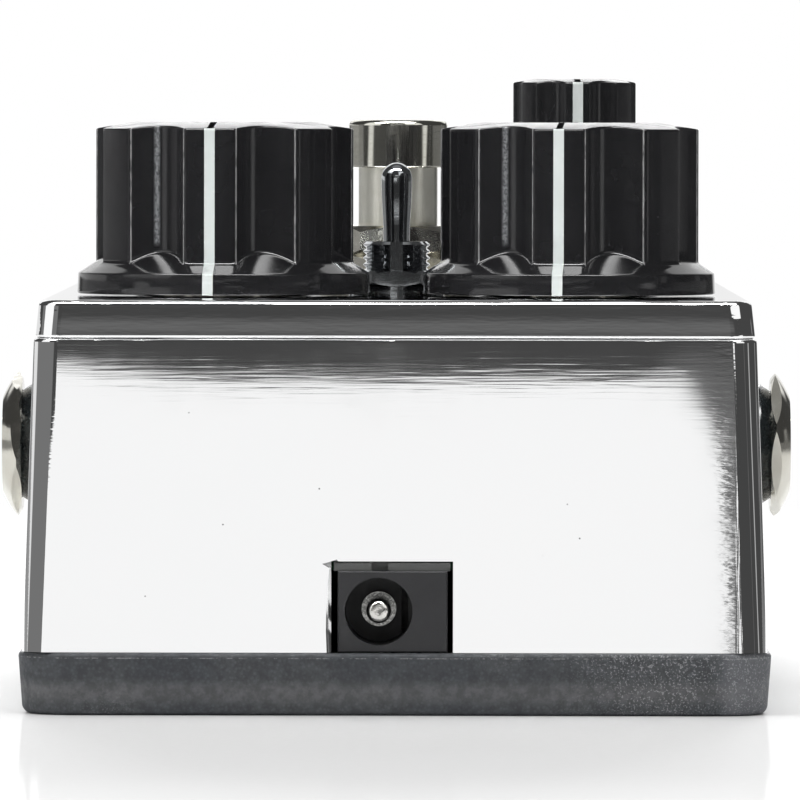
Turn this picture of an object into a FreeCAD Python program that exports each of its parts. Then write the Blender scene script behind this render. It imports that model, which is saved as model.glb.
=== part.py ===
import FreeCAD, Part

import math
import os

from FreeCAD import Vector

os.makedirs("parts", exist_ok=True)

# Guitar effects pedal, millimetres. Origin: centre of the underside, on the floor.
# +Z up, -Y the end with the power inlet, +Y the end nearest the player, +X right.

# ---- driving dimensions -------------------------------------------------------------

# cast enclosure: drafted walls under a raised rim band
WALL_BASE = (34.6, 60.0)         # half width and half length at the foot of the wall
WALL_TOP = (33.6, 58.85)         # the same just under the rim
RIM_BASE = (33.45, 59.05)
RIM_TOP = (33.1, 58.71)
LID_Z = 38.5                     # flat top of the enclosure
RIM_Z = 35.0                     # groove between the rim band and the wall
STEP_Z = 5.85                    # below this the wall steps in to carry the boot
STEP_IN = 1.0
CORNER_R = 2.3
WALL_T = 2.3
TOP_T = 2.4
CAVITY_TOP = LID_Z - TOP_T
RIM_TOP_FILLET = 0.62
RIM_FOOT_FILLET = 0.22
WALL_TOP_FILLET = 0.42

# base plate, its screws and the rubber boot
PLATE_Z = (2.0, 3.5)
BOSS_XY = (27.5, 53.5)
BOSS_R = 4.0
SCREW_R = 1.5
SCREW_HEAD_R = 3.2
SCREW_TIP_Z = 14.0
BOOT_TOP = (35.05, 60.53)
BOOT_FOOT = (34.6, 60.15)
BOOT_TOP_Z = 5.8
BOOT_LIP = 0.35
BOOT_FOOT_FILLET = 1.1
BOOT_CORNER_R = 5.2
BOOT_HOLE_R = 4.2

# controls: positions on the lid
BIG_KNOB_X = 16.5
BIG_KNOB_Y = -27.0
SMALL_KNOB_XY = (17.5, 7.5)
TOGGLE_Y = -17.0
FOOTSWITCH_Y = 35.0
LED_XY = (-17.5, 3.0)

# knobs: heights are above the lid
LOBES = 7
LOBE_SHARE = 23.5 / (360.0 / LOBES)
KNOB_GAP = 0.13
BIG_KNOB = {
    "skirt_r": 14.0, "skirt_top": 2.18, "grip_r": 12.38, "flute": 1.6, "cone_slope": 0.65,
    "edge_z": 15.9, "plateau_r": 8.6, "plateau_z": 16.5, "foot_z": KNOB_GAP,
    "recess_r": 8.5, "recess_z": 5.2, "bore_top": 14.0, "screw_z": 8.2, "screw_length": 5.0,
}
SMALL_KNOB = {
    "skirt_r": 6.5, "skirt_top": 7.9, "grip_r": 6.06, "flute": 0.75, "cone_slope": 0.65,
    "edge_z": 20.45, "plateau_r": 4.4, "plateau_z": 20.76, "foot_z": 6.7,
    "recess_r": 4.4, "recess_z": 7.6, "bore_top": 18.4, "screw_z": 11.0, "screw_length": 2.2,
}
POINTER_W = 1.0
POINTER_DEPTH = 0.35
TOP_GROOVE_W = 0.6
KNOB_TURN = {"left": -5.3, "right": -5.3, "small": 2.3}

# potentiometers
SHAFT_R = 3.0
FIT = 0.05                       # radial running clearance of a shaft in its bushing
BUSHING_R = 3.5
POT_R = 8.0
POT_PLATE_T = 1.5
POT_WAFER_T = 1.5
POT_CAN_Z = 28.5
POT_BUSHING_TOP = 4.6            # above the lid
POT_WASHER = (6.0, 0.5)
POT_NUT = (10.0, 2.0)            # across flats and thickness

# mini toggle switch
TOGGLE_R = 3.2
TOGGLE_PITCH = 0.635
TOGGLE_TOP = 4.98
TOGGLE_BORE_R = 2.1
TOGGLE_PIVOT = 2.4
TOGGLE_WASHER_T = 0.35
TOGGLE_NUT = (8.0, 1.5)
TOGGLE_BODY_Z = 26.3
TOGGLE_LUG_Z = 21.8
LEVER_TOP = 12.6
LEVER_TIP_R = 1.47
LEVER_NECK_R = 1.26
LEVER_BALL_R = 1.7
KEYWAY_W = 1.2

# foot switch
FOOT_BUSHING_R = 6.0
FOOT_BUSHING_TOP = 6.0
PLUNGER_R = 4.0
CAP_R = 5.0
CAP_Z = (11.9, 16.7)
FOOT_NUT_AF = 14.0
FOOT_BODY_Z = (17.3, 32.5)
FOOT_LUG_Z = 12.6
FOOT_BODY_HALF = 8.5
PLUNGER_FOOT_Z = 33.8
SPRING_SEAT_Z = 26.3
SPRING_WIRE_R = 0.4
SPRING_COIL_R = 3.1
SPRING_TURNS = 4

# side jacks for 6.35 mm plugs; the nuts have a domed face and stop at different angles
JACK_Y = -10.0
JACK_Z = 23.7
JACK_BORE_R = 3.2
JACK_BUSHING_R = 4.75
JACK_OUT_X = 38.2
JACK_NUT = (12.7, 1.9)
JACK_NUT_TURN = {"right": -15.0, "left": 14.0}
JACK_NUT_DOME_R = 11.5
JACK_COLLAR_R = (5.9, 5.2)
JACK_COLLAR_X = (33.0, 35.3)      # the straight part, before its bevel
JACK_PLATE_X = (29.7, 30.9)
JACK_INNER_X = 8.0

# power inlet
INLET_X = -1.5
INLET_Z = 9.65
INLET_FACE_Y = -59.4
INLET_HOLE_R = 3.15
INLET_BODY_X = (-5.3, 4.9)
INLET_BODY_Z = (STEP_Z, 13.42)
INLET_LENGTH = 14.0
NOTCH_X = (-5.9, 5.4)
NOTCH_TOP = 14.32
NOTCH_BEVEL = 0.62               # width of the filed edge at its middle

# circuit board and battery
BOARD_Z = (INLET_BODY_Z[1], 15.02)
BOARD_BACK_Y = -2.5
BATTERY_Y = (-1.0, 25.5)
BATTERY_Z = (3.6, 21.1)


# ---- helpers ------------------------------------------------------------------------

def box(x, y, z):
    """Block between the low and high values of each pair."""
    return Part.makeBox(x[1] - x[0], y[1] - y[0], z[1] - z[0], Vector(x[0], y[0], z[0]))


def disc(r, z, at=(0.0, 0.0)):
    """Upright cylinder between two heights."""
    return Part.makeCylinder(r, z[1] - z[0], Vector(at[0], at[1], z[0]))


def tube(r_out, r_in, z, at=(0.0, 0.0)):
    return disc(r_out, z, at).cut(disc(r_in, z, at))


def x_disc(r, x, y, z):
    """Cylinder lying along X."""
    return Part.makeCylinder(r, x[1] - x[0], Vector(x[0], y, z), Vector(1, 0, 0))


def y_disc(r, y, x, z):
    """Cylinder lying along Y."""
    return Part.makeCylinder(r, y[1] - y[0], Vector(x, y[0], z), Vector(0, 1, 0))


def turned(points):
    """Solid of revolution about Z from a closed outline of (radius, height) points."""
    corners = [Vector(r, 0, z) for r, z in points]
    outline = Part.makePolygon(corners + corners[:1])
    return Part.Face(outline).revolve(Vector(0, 0, 0), Vector(0, 0, 1), 360)


def rounded_outline(half_x, half_y, r, z):
    """Closed outline of a rectangle with round corners at height z."""
    edges = []
    corners = [(1, 1, 0), (-1, 1, 90), (-1, -1, 180), (1, -1, 270)]
    for side_x, side_y, start in corners:
        centre = Vector(side_x * (half_x - r), side_y * (half_y - r), z)
        edges.append(Part.makeCircle(r, centre, Vector(0, 0, 1), start, start + 90))
    outline = []
    for index, arc in enumerate(edges):
        following = edges[(index + 1) % len(edges)]
        outline.append(arc)
        outline.append(Part.makeLine(arc.valueAt(arc.LastParameter),
                                     following.valueAt(following.FirstParameter)))
    return Part.Wire(outline)


def rounded_block(low_half, high_half, r, z):
    """Drafted block with round corners between two heights."""
    low = rounded_outline(low_half[0], low_half[1], r, z[0])
    high = rounded_outline(high_half[0], high_half[1], r, z[1])
    return Part.makeLoft([low, high], True, True)


def edges_at(shape, z):
    """Edges that lie flat at height z."""
    flat = []
    for edge in shape.Edges:
        span = edge.BoundBox
        if abs(span.ZMin - z) < 1e-4 and abs(span.ZMax - z) < 1e-4:
            flat.append(edge)
    return flat


def hexagon(across_flats, z, at=(0.0, 0.0), hole_r=0.0, turn=0.0):
    """Hex nut with 30 degree corner chamfers; flats face +Y and -Y when turn is 0."""
    corner_r = across_flats / math.sqrt(3.0)
    corners = []
    for step in range(7):
        angle = math.radians(60 * step + turn)
        corners.append(Vector(corner_r * math.cos(angle), corner_r * math.sin(angle), z[0]))
    nut = Part.Face(Part.makePolygon(corners)).extrude(Vector(0, 0, z[1] - z[0]))
    flat_r = across_flats / 2.0
    out_r = corner_r + 0.1
    drop = (out_r - flat_r) * math.tan(math.radians(30))
    envelope = turned([(0, z[0]), (flat_r, z[0]), (out_r, z[0] + drop),
                       (out_r, z[1] - drop), (flat_r, z[1]), (0, z[1])])
    nut = nut.common(envelope)
    nut.translate(Vector(at[0], at[1], 0))
    if hole_r:
        nut = nut.cut(disc(hole_r, z, at))
    return nut


def threaded(r, z, pitch, depth=0.3):
    """Rod with V-shaped rings in place of a helical thread."""
    points = [(0, z[0]), (r - depth, z[0])]
    turns = int((z[1] - z[0]) / pitch)
    start = z[1] - turns * pitch
    for turn in range(turns):
        low = start + turn * pitch
        points.append((r - depth, low))
        points.append((r, low + 0.42 * pitch))
        points.append((r, low + 0.58 * pitch))
    points.append((r - depth, z[1]))
    points.append((0, z[1]))
    clean = [points[0]]
    for point in points[1:]:
        if math.dist(point, clean[-1]) > 1e-6:
            clean.append(point)
    return turned(clean)


def placed(shape, x, y, z=0.0, turn=0.0):
    """Copy of a shape, turned about Z and then moved."""
    copy = shape.copy()
    copy.rotate(Vector(0, 0, 0), Vector(0, 0, 1), turn)
    copy.translate(Vector(x, y, z))
    return copy


def mirrored(shape):
    """The same piece on the other side of the YZ plane."""
    return shape.mirror(Vector(0, 0, 0), Vector(1, 0, 0))


def swept_wire(points, bend_r, wire_r):
    """Round wire along straight runs joined by tangent arcs, all in one plane."""
    edges = []
    start = Vector(*points[0])
    for index in range(1, len(points) - 1):
        corner = Vector(*points[index])
        back = (Vector(*points[index - 1]) - corner).normalize()
        ahead = (Vector(*points[index + 1]) - corner).normalize()
        half = back.getAngle(ahead) / 2.0
        reach = bend_r / math.tan(half)
        enter = corner + back * reach
        leave = corner + ahead * reach
        centre = corner + (back + ahead).normalize() * (bend_r / math.sin(half))
        middle = centre + (corner - centre).normalize() * bend_r
        edges.append(Part.makeLine(start, enter))
        edges.append(Part.Arc(enter, middle, leave).toShape())
        start = leave
    edges.append(Part.makeLine(start, Vector(*points[-1])))
    path = Part.Wire(edges)
    heading = Vector(*points[1]) - Vector(*points[0])
    section = Part.Wire(Part.makeCircle(wire_r, Vector(*points[0]), heading))
    return path.makePipeShell([section], True, True)


def export(name, *shapes):
    """Write one node: one solid, or a group of separate solids."""
    shape = shapes[0] if len(shapes) == 1 else Part.makeCompound(list(shapes))
    if not shape.isValid():
        print("not valid:", name)
    shape.exportStep("parts/" + name + ".step")


# ---- casing -------------------------------------------------------------------------

def corner_points():
    return [(side_x * BOSS_XY[0], side_y * BOSS_XY[1]) for side_x in (-1, 1) for side_y in (-1, 1)]


def enclosure():
    """Cast shell, open underneath: rim band, drafted walls, bosses, holes and inlet notch."""
    rim = rounded_block(RIM_BASE, RIM_TOP, CORNER_R, (RIM_Z, LID_Z))
    rim = rim.makeFillet(RIM_TOP_FILLET, edges_at(rim, LID_Z))
    rim = rim.makeFillet(RIM_FOOT_FILLET, edges_at(rim, RIM_Z))
    wall = rounded_block(WALL_BASE, WALL_TOP, CORNER_R, (STEP_Z, RIM_Z))
    wall = wall.makeFillet(WALL_TOP_FILLET, edges_at(wall, RIM_Z))
    foot_half = [half - STEP_IN for half in WALL_BASE]
    foot = rounded_block(foot_half, foot_half, CORNER_R - STEP_IN / 2, (PLATE_Z[1], STEP_Z))
    shell = rim.fuse([wall, foot])
    cavity_low = [half - WALL_T for half in WALL_BASE]
    cavity_high = [half - WALL_T for half in WALL_TOP]
    cavity = rounded_block(cavity_low, cavity_high, CORNER_R - 0.7, (PLATE_Z[1], CAVITY_TOP))
    for corner in corner_points():
        cavity = cavity.cut(disc(BOSS_R, (PLATE_Z[1], CAVITY_TOP), corner))
    cuts = [cavity]
    for corner in corner_points():
        cuts.append(disc(SCREW_R, (PLATE_Z[1], SCREW_TIP_Z + 2), corner))
    through = (CAVITY_TOP - 1, LID_Z + 1)
    for at in ((-BIG_KNOB_X, BIG_KNOB_Y), (BIG_KNOB_X, BIG_KNOB_Y), SMALL_KNOB_XY):
        cuts.append(disc(BUSHING_R + 0.1, through, at))
    cuts.append(disc(TOGGLE_R + 0.1, through, (0, TOGGLE_Y)))
    cuts.append(disc(FOOT_BUSHING_R + 0.1, through, (0, FOOTSWITCH_Y)))
    cuts.append(disc(3.2, through, LED_XY))
    for side in (-1, 1):
        span = sorted((side * 29.0, side * 36.0))
        cuts.append(x_disc(JACK_BUSHING_R + 0.05, span, JACK_Y, JACK_Z))
    front = (-WALL_BASE[1] - 1, -WALL_BASE[1] + WALL_T + 1.5)
    cuts.append(box(NOTCH_X, front, (PLATE_Z[1], NOTCH_TOP)))
    cuts.append(filed_edge())
    cuts.append(chipped_corner())
    return shell.cut(cuts)


def filed_edge():
    """Bowed bevel filed along the left edge of the inlet notch."""
    face_y = -WALL_BASE[1]
    bow_r = 60.0
    slant = bow_r / math.sqrt(2.0)
    reach = 40.0 / math.sqrt(2.0)
    x = NOTCH_X[0] - NOTCH_BEVEL + slant
    y = face_y - slant
    z = (STEP_Z + NOTCH_TOP) / 2
    file = Part.makeCylinder(bow_r, 80.0, Vector(x - reach, y - reach, z), Vector(1, 1, 0))
    span_x = (NOTCH_X[0] - 2 * NOTCH_BEVEL, NOTCH_X[0] + 0.1)
    return file.common(box(span_x, (face_y - 1, face_y + 1.6), (PLATE_Z[1], NOTCH_TOP - 0.3)))


def chipped_corner():
    """Small pointed chip at the notch's upper left corner."""
    face_y = -WALL_BASE[1] - 0.3
    x, z = NOTCH_X[0], NOTCH_TOP
    points = [(-0.85, -0.23), (-0.3, -0.09), (0.5, 0.17), (0.8, -0.15), (0.1, -0.75), (-0.2, -0.6)]
    corners = [Vector(x + along, face_y, z + up) for along, up in points]
    outline = Part.makePolygon(corners + corners[:1])
    return Part.Face(outline).extrude(Vector(0, 1.4, 0))


def base_plate():
    half = [value - STEP_IN - FIT for value in WALL_BASE]
    plate = rounded_block(half, half, CORNER_R - STEP_IN / 2, PLATE_Z)
    holes = [disc(SCREW_R + 0.2, PLATE_Z, corner) for corner in corner_points()]
    return plate.cut(holes)


def base_screws():
    """Pan head screws with a crossed recess, heads down inside the boot's access holes."""
    screws = []
    for corner in corner_points():
        shank = disc(SCREW_R, (PLATE_Z[0], SCREW_TIP_Z), corner)
        head = disc(SCREW_HEAD_R, (0.5, PLATE_Z[0]), corner)
        head = head.makeFillet(0.6, edges_at(head, 0.5))
        x, y = corner
        slot_z = (0.0, 1.3)
        cross = box((x - 1.7, x + 1.7), (y - 0.35, y + 0.35), slot_z)
        cross = cross.fuse(box((x - 0.35, x + 0.35), (y - 1.7, y + 1.7), slot_z))
        screws.append(shank.fuse(head).cut(cross).removeSplitter())
    return screws


def rubber_boot():
    """Rubber tray that grips the foot of the enclosure, with screw access holes."""
    lip_z = BOOT_TOP_Z - BOOT_LIP
    body = rounded_block(BOOT_FOOT, BOOT_TOP, BOOT_CORNER_R, (0.0, lip_z))
    body = body.makeFillet(BOOT_FOOT_FILLET, edges_at(body, 0.0))
    lip_half = [value - BOOT_LIP for value in BOOT_TOP]
    body = body.fuse(rounded_block(BOOT_TOP, lip_half, BOOT_CORNER_R, (lip_z, BOOT_TOP_Z)))
    half = [value - STEP_IN for value in WALL_BASE]
    pocket = rounded_block(half, half, CORNER_R - STEP_IN / 2, (PLATE_Z[0], BOOT_TOP_Z + 1))
    cuts = [pocket]
    for corner in corner_points():
        cuts.append(disc(BOOT_HOLE_R, (-1, PLATE_Z[0]), corner))
    return body.cut(cuts)


# ---- knobs and potentiometers -------------------------------------------------------

def fluted_outline(r, depth, z):
    """Outline of the grip: lobes on a circle of radius r with concave flutes between them."""
    period = 2 * math.pi / LOBES
    half_lobe = LOBE_SHARE * period / 2
    edges = []
    for lobe in range(LOBES):
        centre = -math.pi / 2 + lobe * period

        def rim(angle, radius=r):
            return Vector(radius * math.cos(angle), radius * math.sin(angle), z)

        lobe_start = rim(centre - half_lobe)
        lobe_end = rim(centre + half_lobe)
        valley = rim(centre + period / 2, r - depth)
        following = rim(centre + period - half_lobe)
        edges.append(Part.Arc(lobe_start, rim(centre), lobe_end).toShape())
        edges.append(Part.Arc(lobe_end, valley, following).toShape())
    return Part.Wire(edges)


def knob_blank(size):
    """Outer form of a knob, pointer towards -Y: skirt, cone, fluted grip and bevelled top."""
    grip_r = size["grip_r"]
    skirt_r = size["skirt_r"]
    foot = LID_Z + size["foot_z"]
    skirt_top = LID_Z + size["skirt_top"]
    round_r = 0.12
    core_r = grip_r - size["flute"] - 0.4
    cone_top = skirt_top + (skirt_r - core_r) * size["cone_slope"]
    skirt = turned([(0, foot), (skirt_r - round_r, foot), (skirt_r, foot + round_r),
                    (skirt_r - 0.08, skirt_top - round_r), (skirt_r - 0.08 - round_r, skirt_top),
                    (core_r, cone_top), (0, cone_top)])
    edge_z = LID_Z + size["edge_z"]
    plateau_z = LID_Z + size["plateau_z"]
    outline = fluted_outline(grip_r, size["flute"], foot + 0.5)
    grip = Part.Face(outline).extrude(Vector(0, 0, plateau_z - foot))
    bevel = 0.18
    crown = turned([(0, foot + 0.5), (grip_r + 1, foot + 0.5), (grip_r + 1, edge_z - 1),
                    (grip_r, edge_z - bevel), (grip_r - bevel, edge_z),
                    (size["plateau_r"], plateau_z), (0, plateau_z)])
    return skirt.fuse(grip.common(crown))


def knob_parts(size):
    """Knob, pointer inlay, set screw and pot shaft, all about the Z axis."""
    blank = knob_blank(size)
    edge_z = LID_Z + size["edge_z"]
    skirt_r = size["skirt_r"]
    grip_r = size["grip_r"]
    foot = LID_Z + size["foot_z"]
    skirt_top = LID_Z + size["skirt_top"]
    depth = POINTER_DEPTH
    cone_foot_z = skirt_top + (skirt_r - grip_r) * size["cone_slope"]
    skirt_in = skirt_r - 0.08 - depth
    grip_in = grip_r - depth
    keep = turned([(0, foot - 1), (skirt_in, foot - 1), (skirt_in, skirt_top - depth),
                   (grip_in, cone_foot_z - depth), (grip_in, edge_z + 2), (0, edge_z + 2)])
    slab = box((-POINTER_W / 2, POINTER_W / 2), (-skirt_r - 1, 0), (foot - 1, edge_z))
    inlay = blank.common(slab).cut(keep)
    groove_x = (-TOP_GROOVE_W / 2, TOP_GROOVE_W / 2)
    groove_z = (LID_Z + size["plateau_z"] - 0.75, LID_Z + size["plateau_z"] + 1)
    groove = box(groove_x, (-grip_r - 1, -size["plateau_r"] + 0.6), groove_z)
    bore_top = LID_Z + size["bore_top"]
    recess = disc(size["recess_r"], (foot - 1, LID_Z + size["recess_z"]))
    bore = disc(SHAFT_R + FIT, (foot - 1, bore_top))
    screw_z = LID_Z + size["screw_z"]
    screw_hole = y_disc(1.5, (0, grip_r + 1), 0, screw_z)
    knob = blank.cut([inlay, groove, recess, bore, screw_hole])
    inlay = inlay.cut(groove)
    screw_y = (SHAFT_R + FIT, SHAFT_R + FIT + size["screw_length"])
    screw = y_disc(1.5, screw_y, 0, screw_z)
    socket = y_disc(0.7, (screw_y[1] - 1.2, screw_y[1]), 0, screw_z)
    screw = screw.cut(socket)
    shaft = disc(SHAFT_R, (POT_CAN_Z + 1.6, bore_top - 0.4))
    return knob, inlay, screw, shaft


def pot_fixed_parts():
    """Bushing with its mounting plate, phenolic wafer and steel can, about the Z axis."""
    plate_z = (CAVITY_TOP - POT_PLATE_T, CAVITY_TOP)
    bushing_top = LID_Z + POT_BUSHING_TOP
    thread = threaded(BUSHING_R, (plate_z[1], bushing_top), 0.75, 0.25)
    bushing = disc(POT_R, plate_z).fuse(thread)
    bushing = bushing.cut(disc(SHAFT_R + FIT, (plate_z[0] - 1, bushing_top + 1)))
    wafer_z = (plate_z[0] - POT_WAFER_T, plate_z[0])
    wafer = disc(POT_R - 0.3, wafer_z)
    wafer = wafer.fuse(box((-6.0, 6.0), (0, 10.5), wafer_z))
    for x in (-5.0, 0.0, 5.0):
        lug = box((x - 0.6, x + 0.6), (9.0, 10.0), (wafer_z[0] - 4.0, wafer_z[0]))
        wafer = wafer.fuse(lug)
    wafer = wafer.cut(disc(SHAFT_R + 0.3, (wafer_z[0] - 1, wafer_z[1] + 1)))
    can_z = (POT_CAN_Z, wafer_z[0])
    can = disc(POT_R, can_z)
    can = can.makeFillet(0.6, edges_at(can, can_z[0]))
    can = can.cut(disc(POT_R - 0.6, (can_z[0] + 0.6, can_z[1])))
    return bushing, wafer, can


def export_pots_and_knobs():
    bushing, wafer, can = pot_fixed_parts()
    washer = tube(POT_WASHER[0], BUSHING_R, (LID_Z, LID_Z + POT_WASHER[1]))
    nut_z = (LID_Z + POT_WASHER[1], LID_Z + POT_WASHER[1] + POT_NUT[1])
    nut = hexagon(POT_NUT[0], nut_z, hole_r=BUSHING_R)
    places = {
        "left": (-BIG_KNOB_X, BIG_KNOB_Y, BIG_KNOB, 180),
        "right": (BIG_KNOB_X, BIG_KNOB_Y, BIG_KNOB, 180),
        "small": (SMALL_KNOB_XY[0], SMALL_KNOB_XY[1], SMALL_KNOB, 0),
    }
    groups = {"pot_bushings": [], "pot_wafers": [], "pot_washers": [], "pot_nuts": []}
    for name, (x, y, size, wafer_turn) in places.items():
        knob, inlay, screw, shaft = knob_parts(size)
        turn = KNOB_TURN[name]
        export("knob_" + name, placed(knob, x, y, turn=turn))
        export("pointer_" + name, placed(inlay, x, y, turn=turn))
        export("set_screw_" + name, placed(screw, x, y, turn=turn))
        export("pot_shaft_" + name, placed(shaft, x, y, turn=turn))
        export("pot_can_" + name, placed(can, x, y))
        groups["pot_bushings"].append(placed(bushing, x, y))
        groups["pot_wafers"].append(placed(wafer, x, y, turn=wafer_turn))
        groups["pot_washers"].append(placed(washer, x, y))
        groups["pot_nuts"].append(placed(nut, x, y, turn=11.0))
    for name, solids in groups.items():
        export(name, *solids)


# ---- toggle switch ------------------------------------------------------------------

def export_toggle():
    at = (0.0, TOGGLE_Y)
    body_z = (TOGGLE_BODY_Z, CAVITY_TOP)
    body = box((-3.43, 3.43), (TOGGLE_Y - 6.35, TOGGLE_Y + 6.35), body_z)
    well = disc(TOGGLE_BORE_R + 0.6, (CAVITY_TOP - 4.5, CAVITY_TOP), at)
    export("toggle_body", body.cut(well))

    top = LID_Z + TOGGLE_TOP
    bushing = threaded(TOGGLE_R, (CAVITY_TOP, top), TOGGLE_PITCH)
    bushing = bushing.cut(disc(TOGGLE_BORE_R, (CAVITY_TOP - 1, top + 1)))
    keyway = box((-KEYWAY_W / 2, KEYWAY_W / 2), (-TOGGLE_R - 1, -TOGGLE_R + 0.75), (LID_Z, top + 1))
    bushing = bushing.cut(keyway)
    export("toggle_bushing", placed(bushing, *at))

    washers = []
    for index, r_out in enumerate((4.6, 4.2)):
        low = LID_Z + index * TOGGLE_WASHER_T
        washers.append(tube(r_out, TOGGLE_R, (low, low + TOGGLE_WASHER_T - 0.02), at))
    export("toggle_washers", *washers)

    nut_low = LID_Z + 2 * TOGGLE_WASHER_T
    nut = hexagon(TOGGLE_NUT[0], (nut_low, nut_low + TOGGLE_NUT[1]), at, TOGGLE_R, turn=0.0)
    export("toggle_nut", nut)

    terminals = []
    for offset in (-4.7, 0.0, 4.7):
        y = TOGGLE_Y + offset
        pin = box((-1.0, 1.0), (y - 0.4, y + 0.4), (TOGGLE_LUG_Z, body_z[0]))
        eye = x_disc(0.35, (-2, 2), y, TOGGLE_LUG_Z + 1.1)
        terminals.append(pin.cut(eye))
    export("toggle_terminals", *terminals)

    # bat lever: tail, ball in the bushing, neck, swelling towards a round tip
    pivot = LID_Z + TOGGLE_PIVOT
    tip_centre = LID_Z + LEVER_TOP - LEVER_TIP_R
    neck_top = pivot + 3.0
    swell_top = tip_centre - 0.6
    swell = Part.makeCone(LEVER_NECK_R, LEVER_TIP_R, swell_top - neck_top, Vector(0, 0, neck_top))
    lever = disc(0.75, (pivot - 5.2, pivot))
    lever = lever.fuse([
        Part.makeSphere(LEVER_BALL_R, Vector(0, 0, pivot)),
        disc(LEVER_NECK_R, (pivot, neck_top)),
        swell,
        disc(LEVER_TIP_R, (swell_top, tip_centre)),
        Part.makeSphere(LEVER_TIP_R, Vector(0, 0, tip_centre)),
    ]).removeSplitter()
    export("toggle_lever", placed(lever, *at))


# ---- foot switch --------------------------------------------------------------------

def export_footswitch():
    at = (0.0, FOOTSWITCH_Y)
    top = LID_Z + FOOT_BUSHING_TOP
    half = FOOT_BODY_HALF
    body = box((-half, half), (FOOTSWITCH_Y - half, FOOTSWITCH_Y + half), FOOT_BODY_Z)
    well = disc(PLUNGER_R + 0.6, (SPRING_SEAT_Z, FOOT_BODY_Z[1] + 1), at)
    export("footswitch_body", body.cut(well))

    bushing = threaded(FOOT_BUSHING_R, (FOOT_BODY_Z[1], top), 0.75, 0.3)
    bushing = bushing.cut(disc(PLUNGER_R + FIT, (FOOT_BODY_Z[1] - 1, top + 1)))
    export("footswitch_bushing", placed(bushing, *at))

    washer_top = LID_Z + 0.6
    export("footswitch_washer", tube(8.4, FOOT_BUSHING_R, (LID_Z, washer_top), at))
    nut_spans = [
        (washer_top, LID_Z + 2.98, 12.0),
        (LID_Z + 3.0, top, 2.0),
        (CAVITY_TOP - 2.6, CAVITY_TOP, 7.0),
    ]
    nuts = []
    for low, high, turn in nut_spans:
        nuts.append(hexagon(FOOT_NUT_AF, (low, high), at, FOOT_BUSHING_R, turn=turn))
    export("footswitch_nuts", *nuts)

    lugs = []
    for column in (-5.3, 0.0, 5.3):
        for row in (-4.8, 0.0, 4.8):
            y = FOOTSWITCH_Y + row
            lug = box((column - 1.1, column + 1.1), (y - 0.4, y + 0.4), (FOOT_LUG_Z, FOOT_BODY_Z[0]))
            lugs.append(lug.cut(y_disc(0.5, (y - 1, y + 1), column, FOOT_LUG_Z + 1.5)))
    export("footswitch_lugs", *lugs)

    cap_low = LID_Z + CAP_Z[0]
    cap_top = LID_Z + CAP_Z[1]
    stem = disc(PLUNGER_R, (PLUNGER_FOOT_Z, cap_low))
    cap = disc(CAP_R, (cap_low, cap_top))
    cap = cap.makeFillet(0.55, edges_at(cap, cap_top))
    cap = cap.makeFillet(0.15, edges_at(cap, cap_low))
    export("footswitch_button", placed(stem.fuse(cap), *at))

    export("footswitch_spring", placed(coil_spring(), *at))


def coil_spring():
    """Round wire wound in half turns, each one a tilted half ring that meets the next squarely."""
    rise = (PLUNGER_FOOT_Z - SPRING_SEAT_Z - 2 * SPRING_WIRE_R) / (2 * SPRING_TURNS)
    halves = []
    for half in range(2 * SPRING_TURNS):
        side = 1 - 2 * (half % 2)
        low = SPRING_SEAT_Z + SPRING_WIRE_R + half * rise
        start = Vector(side * SPRING_COIL_R, 0, low)
        end = Vector(-side * SPRING_COIL_R, 0, low + rise)
        axis = (start - end).cross(Vector(0, side, 0))
        section = Part.Face(Part.Wire(Part.makeCircle(SPRING_WIRE_R, start, Vector(0, 1, 0))))
        halves.append(section.revolve((start + end) * 0.5, axis, 180))
    return halves[0].fuse(halves[1:])


# ---- side jacks ---------------------------------------------------------------------

def jack_contacts():
    """Insulator stack on the frame arm with a tip blade, a switch blade and solder lugs."""
    low = JACK_Z - 6.8
    stack = box((JACK_INNER_X, JACK_INNER_X + 5), (JACK_Y - 3, JACK_Y + 3), (low, JACK_Z - 3.6))
    tip_blade = box((JACK_INNER_X + 5, 27.0), (JACK_Y - 1.6, JACK_Y + 1.6), (JACK_Z - 4.3, JACK_Z - 3.8))
    shunt = box((JACK_INNER_X + 5, 23.0), (JACK_Y - 1.6, JACK_Y + 1.6), (JACK_Z - 5.8, JACK_Z - 5.3))
    lugs = []
    for offset in (-1.9, 1.9):
        y = JACK_Y + offset
        lugs.append(box((JACK_INNER_X - 2.5, JACK_INNER_X), (y - 0.8, y + 0.8), (low + 0.6, low + 1.1)))
    return stack.fuse([tip_blade, shunt] + lugs)


def jack_frame():
    """Open steel frame: square plate behind the wall and one arm running inwards."""
    arm_z = (JACK_Z - 8.0, JACK_Z - 6.8)
    plate = box(JACK_PLATE_X, (JACK_Y - 8, JACK_Y + 8), (JACK_Z - 8, JACK_Z + 7.4))
    plate = plate.cut(x_disc(JACK_BUSHING_R, (JACK_PLATE_X[0] - 1, JACK_PLATE_X[1] + 1), JACK_Y, JACK_Z))
    arm = box((JACK_INNER_X, JACK_PLATE_X[1]), (JACK_Y - 3.5, JACK_Y + 3.5), arm_z)
    return plate.fuse(arm)


def jack_nut(side):
    """Domed hex nut on the right side, with one corner near the front."""
    low_x = JACK_OUT_X - JACK_NUT[1]
    nut = hexagon(JACK_NUT[0], (0, JACK_NUT[1]), hole_r=JACK_BUSHING_R, turn=JACK_NUT_TURN[side])
    dome_z = JACK_NUT[1] - math.sqrt(JACK_NUT_DOME_R ** 2 - JACK_BUSHING_R ** 2)
    dome = Part.makeSphere(JACK_NUT_DOME_R, Vector(0, 0, dome_z))
    nut = nut.common(dome)
    nut.rotate(Vector(0, 0, 0), Vector(1, 0, 0), 90)
    nut.rotate(Vector(0, 0, 0), Vector(0, 0, 1), 90)
    nut.translate(Vector(low_x, JACK_Y, JACK_Z))
    return nut


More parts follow.
